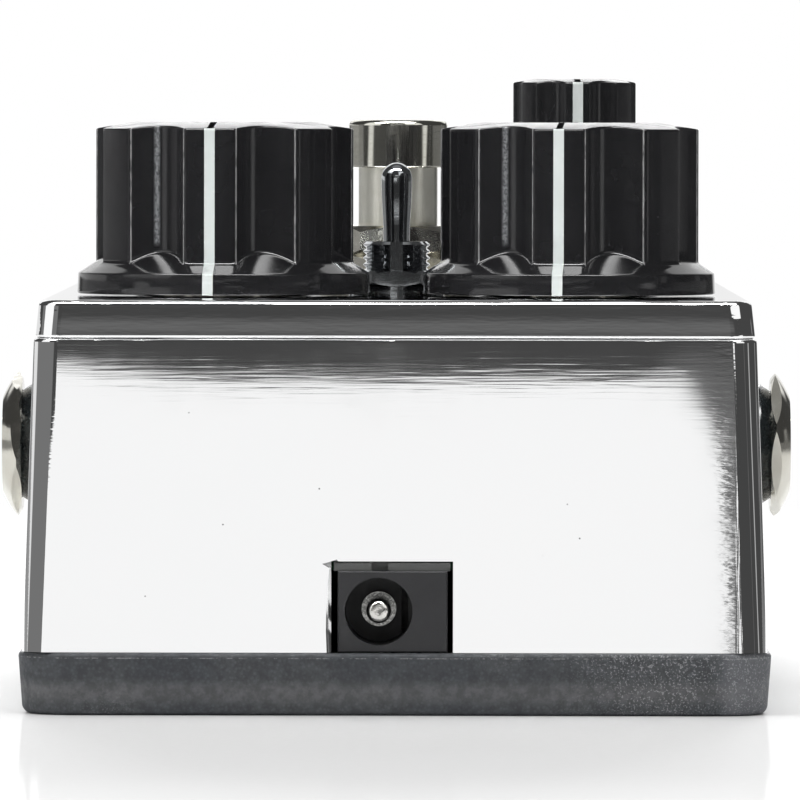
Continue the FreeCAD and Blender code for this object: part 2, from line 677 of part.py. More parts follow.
def jack_collar(shell):
    """Black collar between the wall and the nut, bevelled towards the nut."""
    start, bevel_x = JACK_COLLAR_X
    nut_x = JACK_OUT_X - JACK_NUT[1]
    collar = x_disc(JACK_COLLAR_R[0], (start, bevel_x), JACK_Y, JACK_Z)
    bevel_at = Vector(bevel_x, JACK_Y, JACK_Z)
    bevel = Part.makeCone(JACK_COLLAR_R[0], JACK_COLLAR_R[1], nut_x - bevel_x, bevel_at, Vector(1, 0, 0))
    collar = collar.fuse(bevel)
    collar = collar.cut(x_disc(JACK_BUSHING_R, (start - 1, JACK_OUT_X), JACK_Y, JACK_Z))
    return collar.cut(shell)


def export_jacks(shell):
    bushing = x_disc(JACK_BUSHING_R, (JACK_PLATE_X[0], JACK_OUT_X), JACK_Y, JACK_Z)
    bushing = bushing.cut(x_disc(JACK_BORE_R, (JACK_PLATE_X[0] - 1, JACK_OUT_X + 1), JACK_Y, JACK_Z))
    collar = jack_collar(shell)
    frame = jack_frame()
    contacts = jack_contacts()
    for name, side in (("input", lambda shape: shape), ("output", mirrored)):
        export(name + "_jack_bushing", side(bushing))
        export(name + "_jack_frame", side(frame))
        export(name + "_jack_contacts", side(contacts))
    export("jack_nuts", jack_nut("right"), mirrored(jack_nut("left")))
    export("jack_collars", collar, mirrored(collar))


# ---- power inlet --------------------------------------------------------------------

def export_inlet():
    face = INLET_FACE_Y
    floor_y = face + 8.4
    body = box(INLET_BODY_X, (face, face + INLET_LENGTH), INLET_BODY_Z)
    rim_edges = [edge for edge in body.Edges if edge.BoundBox.YMax < face + 0.01]
    body = body.makeChamfer(0.12, rim_edges)
    hole = y_disc(INLET_HOLE_R, (face - 1, floor_y), INLET_X, INLET_Z)
    slot = box((0.6, INLET_X + INLET_HOLE_R), (face + 1.5, floor_y + 3.4), (INLET_Z - 2.2, INLET_Z + 2.2))
    pin_seat = y_disc(1.0, (floor_y - 1, face + INLET_LENGTH - 1), INLET_X, INLET_Z)
    export("dc_jack_housing", body.cut([hole, slot, pin_seat]))

    pin_r = 1.15
    tip = face + 0.9
    pin = y_disc(pin_r, (tip, floor_y), INLET_X, INLET_Z)
    round_edges = [edge for edge in pin.Edges if edge.BoundBox.YMax < tip + 0.01]
    pin = pin.makeFillet(0.7, round_edges)
    flange = y_disc(1.62, (floor_y - 2.4, floor_y), INLET_X, INLET_Z)
    tail = y_disc(1.0, (floor_y, face + INLET_LENGTH - 1), INLET_X, INLET_Z)
    export("dc_jack_pin", pin.fuse([flange, tail]))

    leaf_x = (INLET_X + INLET_HOLE_R - 0.4, INLET_X + INLET_HOLE_R)
    leaf_y = (face + 4.2, floor_y + 3.4)
    export("dc_jack_contact", box(leaf_x, leaf_y, (INLET_Z - 1.4, INLET_Z + 1.4)))


# ---- electronics --------------------------------------------------------------------

def main_board():
    """Board on top of the inlet, notched round the front bosses, with a tab at the inlet."""
    wide = box((-29.8, 29.8), (-48.6, BOARD_BACK_Y), BOARD_Z)
    narrow = box((-22.6, 22.6), (-56.9, -48.6), BOARD_Z)
    tab = box((NOTCH_X[0] + 0.25, NOTCH_X[1] - 0.25), (-59.0, -56.9), (BOARD_Z[0], NOTCH_TOP - 0.15))
    board = wide.fuse([narrow, tab]).removeSplitter()
    nick = box((-2.15, -0.6), (-59.5, -58.2), (BOARD_Z[0] - 0.5, BOARD_Z[1]))
    return board.cut(nick)


def export_components():
    top = BOARD_Z[1]
    cans = []
    for x, y in ((-19.0, -44.0), (-19.0, -35.5), (19.0, -44.0), (19.0, -35.5), (0.0, -52.0)):
        can = disc(3.15, (top, top + 11.0), (x, y))
        can = can.makeFillet(0.4, edges_at(can, top + 11.0))
        cans.append(can)
    export("electrolytic_capacitors", *cans)

    films = []
    for column in (-13.0, 13.0):
        for row in range(4):
            y = -48.0 + row * 5.2
            film = box((column - 1.25, column + 1.25), (y - 1.9, y + 1.9), (top, top + 6.5))
            films.append(film.makeFillet(0.3, edges_at(film, top + 6.5)))
    export("film_capacitors", *films)

    chips = []
    for x in (-5.0, 5.0):
        chip = box((x - 3.2, x + 3.2), (-43.0, -33.2), (top + 0.6, top + 4.0))
        for side in (-3.9, 3.5):
            for pin in range(4):
                y = -41.9 + pin * 2.54
                chip = chip.fuse(box((x + side, x + side + 0.4), (y - 0.25, y + 0.25), (top, top + 2.4)))
                bridge = sorted((x + side + 0.2, x + math.copysign(3.2, side)))
                chip = chip.fuse(box(bridge, (y - 0.25, y + 0.25), (top + 2.0, top + 2.4)))
        chips.append(chip)
    export("integrated_circuits", *chips)

    resistors = []
    for row in range(4):
        for column in (-24.5, 24.5):
            y = -46.0 + row * 4.6
            resistors.append(y_disc(1.1, (y - 1.9, y + 1.9), column, top + 1.1))
    for column in range(5):
        x = -8.0 + column * 4.0
        resistors.append(y_disc(1.1, (-30.5, -24.5), x, top + 1.1))
    export("resistors", *resistors)


def ribbon_cable():
    """Flat cable from the foot switch lugs, up over the battery and down to the board."""
    thick = 0.6
    low = FOOT_LUG_Z - thick / 2
    rise_y = (BATTERY_Y[1] + FOOTSWITCH_Y - FOOT_BODY_HALF) / 2
    over = BATTERY_Z[1] + 2.6
    route = [(40.5, low), (rise_y, low), (rise_y, over), (-6.0, over), (-6.0, BOARD_Z[1] + 0.01)]
    bend = 1.3
    outer = offset_path(route, bend, thick / 2)
    inner = offset_path(route, bend, -thick / 2)
    ends = [Part.makeLine(outer[-1].valueAt(outer[-1].LastParameter),
                          inner[-1].valueAt(inner[-1].LastParameter)),
            Part.makeLine(inner[0].valueAt(inner[0].FirstParameter),
                          outer[0].valueAt(outer[0].FirstParameter))]
    outline = Part.Wire(Part.__sortEdges__(outer + inner + ends))
    strip = Part.Face(outline).extrude(Vector(9.0, 0, 0))
    strip.translate(Vector(-4.5, 0, 0))
    return strip


def offset_path(route, bend, offset):
    """Edges of a path in the YZ plane, moved sideways, with round corners."""
    edges = []
    sides = []
    for (y0, z0), (y1, z1) in zip(route, route[1:]):
        length = math.hypot(y1 - y0, z1 - z0)
        along = ((y1 - y0) / length, (z1 - z0) / length)
        sides.append((along, (-along[1], along[0])))
    start = (route[0][0] + sides[0][1][0] * offset, route[0][1] + sides[0][1][1] * offset)
    for index in range(1, len(route) - 1):
        corner = route[index]
        (into, side_in), (out, side_out) = sides[index - 1], sides[index]
        turn = into[0] * out[1] - into[1] * out[0]
        centre = (corner[0] - into[0] * bend + out[0] * bend, corner[1] - into[1] * bend + out[1] * bend)
        radius = bend - offset * math.copysign(1.0, turn)
        enter = (centre[0] - out[0] * radius, centre[1] - out[1] * radius)
        leave = (centre[0] + into[0] * radius, centre[1] + into[1] * radius)
        middle_dir = (into[0] - out[0], into[1] - out[1])
        scale = radius / math.hypot(*middle_dir)
        middle = (centre[0] + middle_dir[0] * scale, centre[1] + middle_dir[1] * scale)
        edges.append(Part.makeLine(Vector(0, *start), Vector(0, *enter)))
        edges.append(Part.Arc(Vector(0, *enter), Vector(0, *middle), Vector(0, *leave)).toShape())
        start = leave
    last = (route[-1][0] + sides[-1][1][0] * offset, route[-1][1] + sides[-1][1][1] * offset)
    edges.append(Part.makeLine(Vector(0, *start), Vector(0, *last)))
    return edges


def export_battery():
    terminal_x = 22.2
    body = box((-24.3, terminal_x), BATTERY_Y, BATTERY_Z)
    long_edges = [edge for edge in body.Edges if edge.BoundBox.XLength > 40]
    body = body.makeFillet(2.0, long_edges)
    middle_y = sum(BATTERY_Y) / 2
    middle_z = sum(BATTERY_Z) / 2
    for y in (middle_y - 6.35, middle_y + 6.35):
        body = body.fuse(x_disc(2.8, (terminal_x, terminal_x + 2.1), y, middle_z))
    export("battery", body)

    snap = box((terminal_x + 2.1, terminal_x + 5.6), (middle_y - 12, middle_y + 12), (5.0, 19.7))
    upright = [edge for edge in snap.Edges if edge.BoundBox.XLength > 3]
    export("battery_snap", snap.makeFillet(3.0, upright))

    leads = []
    start_y = middle_y - 12
    for x in (25.2, 27.0):
        route = [(x, start_y, 10.0), (x, start_y - 15.0, 10.0), (x, start_y - 15.0, BOARD_Z[0])]
        leads.append(swept_wire(route, 2.2, 0.6))
    export("battery_leads", *leads)


def export_led():
    at = LED_XY
    bezel = disc(4.0, (LID_Z, LID_Z + 1.3), at)
    bezel = bezel.makeFillet(0.6, edges_at(bezel, LID_Z + 1.3))
    bezel = bezel.fuse(disc(3.15, (CAVITY_TOP - 1.5, LID_Z), at))
    bezel = bezel.cut(disc(2.55, (CAVITY_TOP - 3, LID_Z + 3), at))
    export("led_bezel", bezel)

    dome_z = LID_Z + 0.3
    led = disc(2.5, (CAVITY_TOP - 4.6, dome_z), at)
    led = led.fuse(Part.makeSphere(2.5, Vector(at[0], at[1], dome_z)))
    led = led.fuse(disc(2.9, (CAVITY_TOP - 5.6, CAVITY_TOP - 4.6), at))
    for x in (at[0] - 1.27, at[0] + 1.27):
        led = led.fuse(box((x - 0.25, x + 0.25), (at[1] - 0.25, at[1] + 0.25), (23.8, CAVITY_TOP - 5.6)))
    export("led", led.removeSplitter())


# ---- assembly -----------------------------------------------------------------------

shell = enclosure()
export("enclosure", shell)
export("base_plate", base_plate())
export("base_screws", *base_screws())
export("rubber_boot", rubber_boot())
export_pots_and_knobs()
export_toggle()
export_footswitch()
export_jacks(shell)
export_inlet()
export("main_board", main_board())
export_components()
export("ribbon_cable", ribbon_cable())
export_battery()
export_led()
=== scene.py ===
import math

import bmesh
import bpy
from mathutils import Matrix, Vector


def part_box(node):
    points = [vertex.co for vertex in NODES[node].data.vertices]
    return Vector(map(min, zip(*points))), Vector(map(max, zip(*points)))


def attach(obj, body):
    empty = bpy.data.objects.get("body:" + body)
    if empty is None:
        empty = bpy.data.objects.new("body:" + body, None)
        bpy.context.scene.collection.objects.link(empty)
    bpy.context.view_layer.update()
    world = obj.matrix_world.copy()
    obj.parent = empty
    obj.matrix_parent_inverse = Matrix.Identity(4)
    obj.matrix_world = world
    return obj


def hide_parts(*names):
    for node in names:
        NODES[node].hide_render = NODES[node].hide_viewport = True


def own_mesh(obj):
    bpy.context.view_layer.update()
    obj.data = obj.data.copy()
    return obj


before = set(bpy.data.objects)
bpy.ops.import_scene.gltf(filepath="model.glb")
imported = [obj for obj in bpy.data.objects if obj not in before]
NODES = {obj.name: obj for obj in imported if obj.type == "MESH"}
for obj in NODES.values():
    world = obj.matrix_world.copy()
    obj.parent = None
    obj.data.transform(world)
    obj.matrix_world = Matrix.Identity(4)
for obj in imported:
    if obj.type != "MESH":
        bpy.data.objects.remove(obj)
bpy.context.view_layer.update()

# Guitar effects pedal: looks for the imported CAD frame. Lengths in the driving values are
# millimetres; MM turns them into the frame's metres.

MM = 0.001

# ---- driving values -----------------------------------------------------------------

VIEW_DISTANCE = 1.0              # camera to the front wall, metres
VIEW_HEIGHT = 0.0557             # metres, as is VIEW_SIDE
VIEW_DOWN_DEG = 1.512
VIEW_SIDE = 0.00277
VIEW_TURN_DEG = 0.1354
VIEW_ROLL_DEG = -0.1
VIEW_WIDTH = 0.07408             # seen at the front wall, metres
SENSOR = 36.0                    # width of the camera's sensor

LOBES = 7
LOBE_HALF = math.radians(11.75)
KNOB_GAP = 0.13
BIG_KNOB = {
    "skirt_r": 14.0, "skirt_top": 2.18, "grip_r": 12.38, "flute": 1.6, "cone_slope": 0.65,
    "edge_z": 15.9, "plateau_r": 8.6, "plateau_z": 16.5, "foot_z": KNOB_GAP,
    "recess_r": 8.5, "recess_z": 5.2, "bore_top": 14.0, "screw_z": 8.2, "smooth": 0.18,
}
SMALL_KNOB = {
    "skirt_r": 6.5, "skirt_top": 7.9, "grip_r": 6.06, "flute": 0.75, "cone_slope": 0.65,
    "edge_z": 20.45, "plateau_r": 4.4, "plateau_z": 20.76, "foot_z": 6.7,
    "recess_r": 4.4, "recess_z": 7.6, "bore_top": 18.4, "screw_z": 11.0, "smooth": 0.12,
}
KNOB_TURN_DEG = {"left": -5.3, "right": -5.3, "small": 2.3}
POINTER_W = 1.0
# painted highlight line in a front flute of each big knob: its angle from the pointer and its radius
FLUTE_HIGHLIGHT_ANGLE = 29.0              # from the pointer, degrees
FLUTE_HIGHLIGHT_R = 11.1
SHAFT_BORE_R = 3.05

LID_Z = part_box("enclosure")[1].z / MM
RIM_HEIGHT = 3.5


def middle(node):
    """Centre of a CAD node's box, in millimetres."""
    low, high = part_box(node)
    return (low + high) / (2 * MM)


# ---- node tree helpers --------------------------------------------------------------

def linear(*srgb):
    """Colour from 0-255 display values to linear light, with alpha."""
    shares = [value / 255.0 for value in srgb]
    return tuple(((s + 0.055) / 1.055) ** 2.4 if s > 0.04045 else s / 12.92 for s in shares) + (1.0,)


class Tree:
    """Short calls for building a node tree."""

    def __init__(self, owner):
        owner.use_nodes = True
        self.tree = owner.node_tree
        self.tree.nodes.clear()

    def node(self, kind, **settings):
        made = self.tree.nodes.new(kind)
        for key, value in settings.items():
            setattr(made, key, value)
        return made

    def feed(self, socket, value):
        """Link a socket to an output, or set its own value."""
        if isinstance(value, bpy.types.NodeSocket):
            self.tree.links.new(value, socket)
        elif value is not None:
            socket.default_value = value

    def math(self, operation, first, second=None):
        made = self.node("ShaderNodeMath", operation=operation)
        self.feed(made.inputs[0], first)
        self.feed(made.inputs[1], second)
        return made.outputs[0]

    def ramp(self, value, low, high, out_low=0.0, out_high=1.0):
        """Map value from low..high to out_low..out_high, eased and clamped."""
        made = self.node("ShaderNodeMapRange", clamp=True, interpolation_type="SMOOTHSTEP")
        for index, item in enumerate((value, low, high, out_low, out_high)):
            self.feed(made.inputs[index], item)
        return made.outputs[0]

    def band(self, value, low, high, soft):
        """1 between low and high, falling to 0 over the soft width at each side."""
        rise = self.ramp(value, low - soft, low + soft)
        fall = self.ramp(value, high - soft, high + soft, 1.0, 0.0)
        return self.math("MULTIPLY", rise, fall)

    def place(self):
        """Position in the frame, metres."""
        return self.node("ShaderNodeTexCoord").outputs["Object"]

    def split(self, vector):
        """X, Y and Z of a vector."""
        parts = self.node("ShaderNodeSeparateXYZ")
        self.feed(parts.inputs[0], vector)
        return parts.outputs

    def reach(self, first, second, at):
        """Two coordinates' offsets from a point, and the distance from it."""
        off_first = self.math("SUBTRACT", first, at[0])
        off_second = self.math("SUBTRACT", second, at[1])
        square = self.math("MULTIPLY", off_first, off_first)
        square = self.math("ADD", square, self.math("MULTIPLY", off_second, off_second))
        return off_first, off_second, self.math("SQRT", square)

    def stretch(self, vector, scale):
        """Scale a position along X, Y and Z."""
        made = self.node("ShaderNodeMapping")
        self.feed(made.inputs["Vector"], vector)
        made.inputs["Scale"].default_value = scale
        return made.outputs[0]

    def noise(self, vector, scale, detail=3.0, rough=0.5, warp=0.0):
        """Cloudy noise between 0 and 1; scale is in cycles a metre."""
        made = self.node("ShaderNodeTexNoise")
        self.feed(made.inputs["Vector"], vector)
        made.inputs["Scale"].default_value = scale
        made.inputs["Detail"].default_value = detail
        made.inputs["Roughness"].default_value = rough
        made.inputs["Distortion"].default_value = warp
        return made.outputs["Fac"]

    def cells(self, vector, scale):
        """Distance to the nearest of many scattered points."""
        made = self.node("ShaderNodeTexVoronoi")
        self.feed(made.inputs["Vector"], vector)
        made.inputs["Scale"].default_value = scale
        return made.outputs["Distance"]

    def spots(self, vector, scale, radius, cluster_scale, cluster):
        """1 on small round spots, only where a coarse noise passes the cluster limits."""
        spots = self.ramp(self.cells(vector, scale), 0.0, radius, 1.0, 0.0)
        chosen = self.ramp(self.noise(vector, cluster_scale, 0.0), *cluster)
        return self.math("MULTIPLY", spots, chosen)

    def mix(self, share, first, second):
        """Colour that goes from first to second with the share."""
        made = self.node("ShaderNodeMix", data_type="RGBA")
        self.feed(made.inputs[0], share)
        self.feed(made.inputs[6], first)
        self.feed(made.inputs[7], second)
        return made.outputs[2]

    def bump(self, height, distance, strength=1.0):
        """Normal tilted by a height; one unit of height is distance metres."""
        made = self.node("ShaderNodeBump")
        made.inputs["Distance"].default_value = distance
        made.inputs["Strength"].default_value = strength
        self.feed(made.inputs["Height"], height)
        return made.outputs[0]

    def surface(self, colour, rough, metallic, normal, **sockets):
        """Principled shader wired to the material output."""
        shader = self.node("ShaderNodeBsdfPrincipled")
        self.feed(shader.inputs["Base Color"], colour)
        self.feed(shader.inputs["Roughness"], rough)
        shader.inputs["Metallic"].default_value = metallic
        self.feed(shader.inputs["Normal"], normal)
        for name, value in sockets.items():
            shader.inputs[name.replace("_", " ")].default_value = value
        output = self.node("ShaderNodeOutputMaterial")
        self.feed(output.inputs["Surface"], shader.outputs[0])


# ---- world, floor and camera --------------------------------------------------------

# Lit patches round the object: azimuth and elevation spans in degrees, edge softness in
# degrees, brightness. Azimuth 0 is towards the camera, positive to the object's right.
PATCHES = [
    ((2.2, 14.0), (3.52, 5.0), (0.6, 0.02), 3.0),          # small reflector beside it
    ((-12.0, 12.0), (14.0, 20.0), (2.0, 0.5), 0.8),        # pale strip over the card
    ((-105.0, -20.0), (0.5, 14.0), (3.0, 0.2), 0.18),      # grey wall, left
    ((1.2, 3.2), (0.5, 3.3), (0.2, 0.2), 0.13),            # dim band past the card's right edge
    ((54.0, 57.0), (0.6, 6.0), (1.5, 0.2), 0.14),          # narrow strips, right
    ((77.0, 83.0), (0.6, 6.0), (1.5, 0.2), 0.45),
    ((120.0, 126.0), (0.6, 6.0), (2.0, 0.2), 0.3),
    ((-181.0, -105.0), (0.4, 6.0), (4.0, 0.1), 0.8),       # pale wall, left and behind
    ((-74.0, -60.0), (-8.0, 0.5), (4.0, 0.1), 1.0),        # low lights seen by upright faces
    ((60.0, 70.0), (-8.0, 0.5), (4.0, 0.1), 1.3),
    ((-150.0, -88.0), (-8.0, 0.4), (5.0, 0.1), 0.3),
    ((88.0, 140.0), (-8.0, 0.4), (5.0, 0.1), 0.2),
    ((-86.0, -42.0), (6.0, 48.0), (2.0, 2.0), 3.0),        # softbox, left
    ((18.0, 58.0), (12.6, 44.0), (2.0, 0.1), 3.0),         # softbox, right
]
# The same for both sides behind the object: here azimuth counts from the camera either way.
BEHIND = [
    ((120.0, 181.0), (-8.0, 0.4), (6.0, 0.1), 0.08),
    ((160.0, 181.0), (-20.0, 10.0), (5.0, 1.0), 1.0),      # white backdrop
    ((150.0, 181.0), (12.0, 40.0), (8.0, 3.0), 3.0),       # light on the backdrop
]
CARD_RIGHT = 1.63                # white card in front
CARD_LEFT = -25.0                # counted from its right edge
CARD_SPAN = (1.3, 3.12)
CARD_LEAN = (1.9, 0.055)         # its right edge leans in about this elevation
CARD_ROUND = (2.6, 0.68)         # and is round above this one
CARD_EDGE = (0.02, 0.015)        # softness of its upright and level edges
HORIZON = (0.3, 0.7)
ROOM_LOW = 0.045                 # brightness of the dark rest of the studio, below the horizon
ROOM = 0.06
GLOW = 0.09                      # faint glow over the card
GLOW_SIDE = (15.0, 25.0)
GLOW_SPAN = (6.5, 12.0)
GLOW_FADE = (7.0, 12.0)
CEILING = 0.3
CEILING_FROM = (55.0, 75.0)
BRIGHTEST = (10.0, 1.05)         # limits for matt and for mirror rays on all of the above
SOFTBOX_X = (-0.95, 0.55)        # overhead softbox in the plane one unit above the object
SOFTBOX_Y = (-0.56, -0.30)
SOFTBOX_EDGE = 0.05
SOFTBOX_FROM = (0.1, 0.2)        # lowest sine of the elevation at which it is seen
SOFTBOX_POWER = 30.0
SOFT_FILL_Y = (-0.80, 0.95)      # how far it spreads its light over matt surfaces
SOFT_FILL = 2.1
BACKLIGHT_FROM = 168.0           # matt surfaces also see a strong light straight behind
BACKLIGHT_SPAN = (12.0, 24.0)
BACKLIGHT_EDGE = 2.0
BACKLIGHT = 55.0


def card_light(t, azimuth, elevation):
    """1 on the white card in front."""
    lean = t.math("MULTIPLY", t.math("SUBTRACT", elevation, CARD_LEAN[0]), CARD_LEAN[1])
    bend = t.math("MAXIMUM", t.math("SUBTRACT", elevation, CARD_ROUND[0]), 0.0)
    bend = t.math("MULTIPLY", t.math("MULTIPLY", bend, bend), CARD_ROUND[1])
    edge = t.math("SUBTRACT", CARD_RIGHT, t.math("ADD", lean, bend))
    past = t.math("SUBTRACT", azimuth, edge)
    across = t.band(past, CARD_LEFT, 0.0, CARD_EDGE[0])
    return t.math("MULTIPLY", across, t.band(elevation, *CARD_SPAN, CARD_EDGE[1]))


def room_light(t, azimuth, turned, elevation):
    """Dark room, faint glow, card, patches and ceiling."""
    light = t.ramp(elevation, *HORIZON, ROOM_LOW, ROOM)
    glow = t.math("MULTIPLY", t.ramp(turned, *GLOW_SIDE, 1.0, 0.0), t.band(elevation, *GLOW_SPAN, 1.5))
    light = t.math("ADD", light, t.math("MULTIPLY", glow, t.ramp(elevation, *GLOW_FADE, GLOW, 0.0)))
    light = t.math("MAXIMUM", light, card_light(t, azimuth, elevation))
    for around, patches in ((azimuth, PATCHES), (turned, BEHIND)):
        for azimuths, elevations, soft, brightness in patches:
            across = t.band(around, azimuths[0], azimuths[1], soft[0])
            up = t.band(elevation, elevations[0], elevations[1], soft[1])
            patch = t.math("MULTIPLY", t.math("MULTIPLY", across, up), brightness)
            light = t.math("MAXIMUM", light, patch)
    return t.math("MAXIMUM", light, t.ramp(elevation, *CEILING_FROM, 0.0, CEILING))


def overhead_light(t, direction, glossy):
    """Softbox overhead: small and strong for mirror rays, wide and weak for matt ones."""
    x, y, z = direction
    above = t.math("MAXIMUM", z, 0.02)
    across = t.band(t.math("DIVIDE", x, above), *SOFTBOX_X, SOFTBOX_EDGE)
    across = t.math("MULTIPLY", across, t.ramp(z, *SOFTBOX_FROM))
    along = t.math("DIVIDE", y, above)
    total = None
    for span, power, share in ((SOFTBOX_Y, SOFTBOX_POWER, glossy),
                               (SOFT_FILL_Y, SOFT_FILL, t.math("SUBTRACT", 1.0, glossy))):
        top = t.math("MULTIPLY", across, t.band(along, *span, SOFTBOX_EDGE))
        top = t.math("MULTIPLY", top, t.math("MULTIPLY", share, power))
        total = top if total is None else t.math("MAXIMUM", total, top)
    return total


def back_light(t, turned, elevation, glossy):
    """Strong light straight behind, seen by matt surfaces only."""
    sideways = t.ramp(turned, BACKLIGHT_FROM - BACKLIGHT_EDGE, BACKLIGHT_FROM + BACKLIGHT_EDGE)
    back = t.math("MULTIPLY", sideways, t.band(elevation, *BACKLIGHT_SPAN, BACKLIGHT_EDGE))
    return t.math("MULTIPLY", back, t.math("MULTIPLY", t.math("SUBTRACT", 1.0, glossy), BACKLIGHT))


def build_world():
    """Studio seen in reflections and as light; the camera itself sees plain white."""
    world = bpy.data.worlds.new("studio")
    bpy.context.scene.world = world
    t = Tree(world)
    direction = t.node("ShaderNodeTexCoord").outputs["Generated"]
    x, y, z = t.split(direction)
    degrees = 180.0 / math.pi
    azimuth = t.math("MULTIPLY", t.math("ARCTAN2", x, t.math("MULTIPLY", y, -1.0)), degrees)
    elevation = t.math("MULTIPLY", t.math("ARCSINE", z), degrees)
    turned = t.math("ABSOLUTE", azimuth)
    glossy = t.node("ShaderNodeLightPath").outputs["Is Glossy Ray"]
    light = room_light(t, azimuth, turned, elevation)
    light = t.math("MINIMUM", light, t.ramp(glossy, 0.0, 1.0, *BRIGHTEST))
    light = t.math("MAXIMUM", light, overhead_light(t, (x, y, z), glossy))
    light = t.math("MAXIMUM", light, back_light(t, turned, elevation, glossy))
    shown = t.node("ShaderNodeLightPath").outputs["Is Camera Ray"]
    strength = t.math("ADD", t.math("MULTIPLY", light, t.math("SUBTRACT", 1.0, shown)), shown)
    background = t.node("ShaderNodeBackground")
    background.inputs["Color"].default_value = (1.0, 1.0, 1.0, 1.0)
    t.feed(background.inputs["Strength"], strength)
    output = t.node("ShaderNodeOutputWorld")
    t.feed(output.inputs["Surface"], background.outputs[0])
    world.cycles.sampling_method = "MANUAL"
    world.cycles.sample_map_resolution = 2048


FLOOR_RADIUS = 0.55
FLOOR_GLOSS = 0.2
FLOOR_ROUGH = 0.07
FLOOR_DARK = (0.64, 0.64, 0.64, 1.0)
FLOOR_LIGHT = (0.67, 0.67, 0.67, 1.0)
FLOOR_FADE = (0.2, 0.5)          # distance over which the floor melts into the background


def build_floor():
    """Round pale floor with a faint gloss."""
    mesh = bpy.data.meshes.new("floor")
    shape = bmesh.new()
    bmesh.ops.create_circle(shape, cap_ends=True, radius=FLOOR_RADIUS, segments=96)
    shape.to_mesh(mesh)
    shape.free()
    floor = bpy.data.objects.new("floor", mesh)
    bpy.context.scene.collection.objects.link(floor)
    material, t = new_tree("floor")
    place = t.place()
    grain = t.noise(place, 900.0, 2.0)
    matt = t.node("ShaderNodeBsdfDiffuse")
    t.feed(matt.inputs["Color"], t.mix(grain, FLOOR_DARK, FLOOR_LIGHT))
    gloss = t.node("ShaderNodeBsdfGlossy")
    gloss.inputs["Color"].default_value = (0.97, 0.98, 0.98, 1.0)
    gloss.inputs["Roughness"].default_value = FLOOR_ROUGH
    both = t.node("ShaderNodeMixShader")
    both.inputs[0].default_value = FLOOR_GLOSS
    t.feed(both.inputs[1], matt.outputs[0])
    t.feed(both.inputs[2], gloss.outputs[0])
    x, y, z = t.split(place)
    distance = t.reach(x, y, (0.0, 0.0))[2]
    fade = t.node("ShaderNodeMixShader")
    t.feed(fade.inputs[0], t.ramp(distance, FLOOR_FADE[0], FLOOR_FADE[1]))
    t.feed(fade.inputs[1], both.outputs[0])
    t.feed(fade.inputs[2], t.node("ShaderNodeBsdfTransparent").outputs[0])
    output = t.node("ShaderNodeOutputMaterial")
    t.feed(output.inputs["Surface"], fade.outputs[0])
    mesh.materials.append(material)


def build_camera():
    """Long lens, nearly level, facing the inlet end."""
    data = bpy.data.cameras.new("camera")
    data.sensor_width = SENSOR
    data.lens = SENSOR * VIEW_DISTANCE / VIEW_WIDTH
    data.clip_start = 0.05
    data.clip_end = 20.0
    camera = bpy.data.objects.new("camera", data)
    front_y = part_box("enclosure")[0].y
    camera.location = (VIEW_SIDE, front_y - VIEW_DISTANCE, VIEW_HEIGHT)
    angles = (90.0 - VIEW_DOWN_DEG, VIEW_ROLL_DEG, VIEW_TURN_DEG)
    camera.rotation_euler = [math.radians(angle) for angle in angles]
    bpy.context.scene.collection.objects.link(camera)
    bpy.context.scene.camera = camera
    bpy.context.scene.view_settings.view_transform = "Standard"


# ---- materials ----------------------------------------------------------------------

def new_tree(name):
    """New material and its node tree."""
    material = bpy.data.materials.new(name)
    return material, Tree(material)


RIM_SWELL = (2.45, 2.8, 26.0)    # middle, period (mm) and depth of the swell of the rim band
WALL_LEAN = 2400.0               # lean of the front wall's left end
LEAN_X = (-33.0, -19.0)          # from full lean to none
CORNER_X = (31.4, 32.2)          # the upright corners begin here, either side
RIGHT_END_X = (28.5, 30.5)       # short ticks come in here at the wall's right end
LEFT_END_X = (-32.2, -31.2)
POLISH_LINES = (95.0, 95.0, 2800.0)        # noise scales along X, Y and Z
LONG_WAVES = (70.0, 70.0, 220.0)
UPRIGHT_LINES = (3500.0, 3500.0, 50.0)
SHORT_TICKS = (700.0, 700.0, 3600.0)
RIM_MOTTLE = (160.0, 160.0, 900.0)
WAVE_HEIGHT = 3.0                # heights next to the polishing lines' 1
UPRIGHT_HEIGHT = 5.0
TICK_HEIGHT = 2.4
MOTTLE_HEIGHT = 26.0
RIM_LINE_GAIN = 4.0
CHROME_STEP = 0.00000025         # metres for one unit of height


def wall_ticks(t, place, x):
    """Height of the short ticks at the wall's ends and the upright lines on its corners."""
    corner = t.ramp(t.math("ABSOLUTE", x), CORNER_X[0] * MM, CORNER_X[1] * MM)
    right = t.ramp(x, RIGHT_END_X[0] * MM, RIGHT_END_X[1] * MM)
    left = t.ramp(x, LEFT_END_X[0] * MM, LEFT_END_X[1] * MM, 1.0, 0.0)
    total = None
    for scale, where, height in ((SHORT_TICKS, t.math("MAXIMUM", right, left), TICK_HEIGHT),
                                 (UPRIGHT_LINES, corner, UPRIGHT_HEIGHT)):
        lines = t.math("SUBTRACT", t.noise(t.stretch(place, scale), 1.0, 2.0), 0.5)
        lines = t.math("MULTIPLY", lines, t.math("MULTIPLY", where, height))
        total = lines if total is None else t.math("ADD", total, lines)
    return total


def rim_swell(t, z, rim_low, on_rim):
    """Height of the rim band's swell: its lower half leans out a little."""
    swing = t.math("SUBTRACT", z, rim_low + RIM_SWELL[0] * MM)
    swing = t.math("SINE", t.math("MULTIPLY", swing, 2 * math.pi / (RIM_SWELL[1] * MM)))
    return t.math("MULTIPLY", swing, t.math("MULTIPLY", on_rim, -RIM_SWELL[2]))


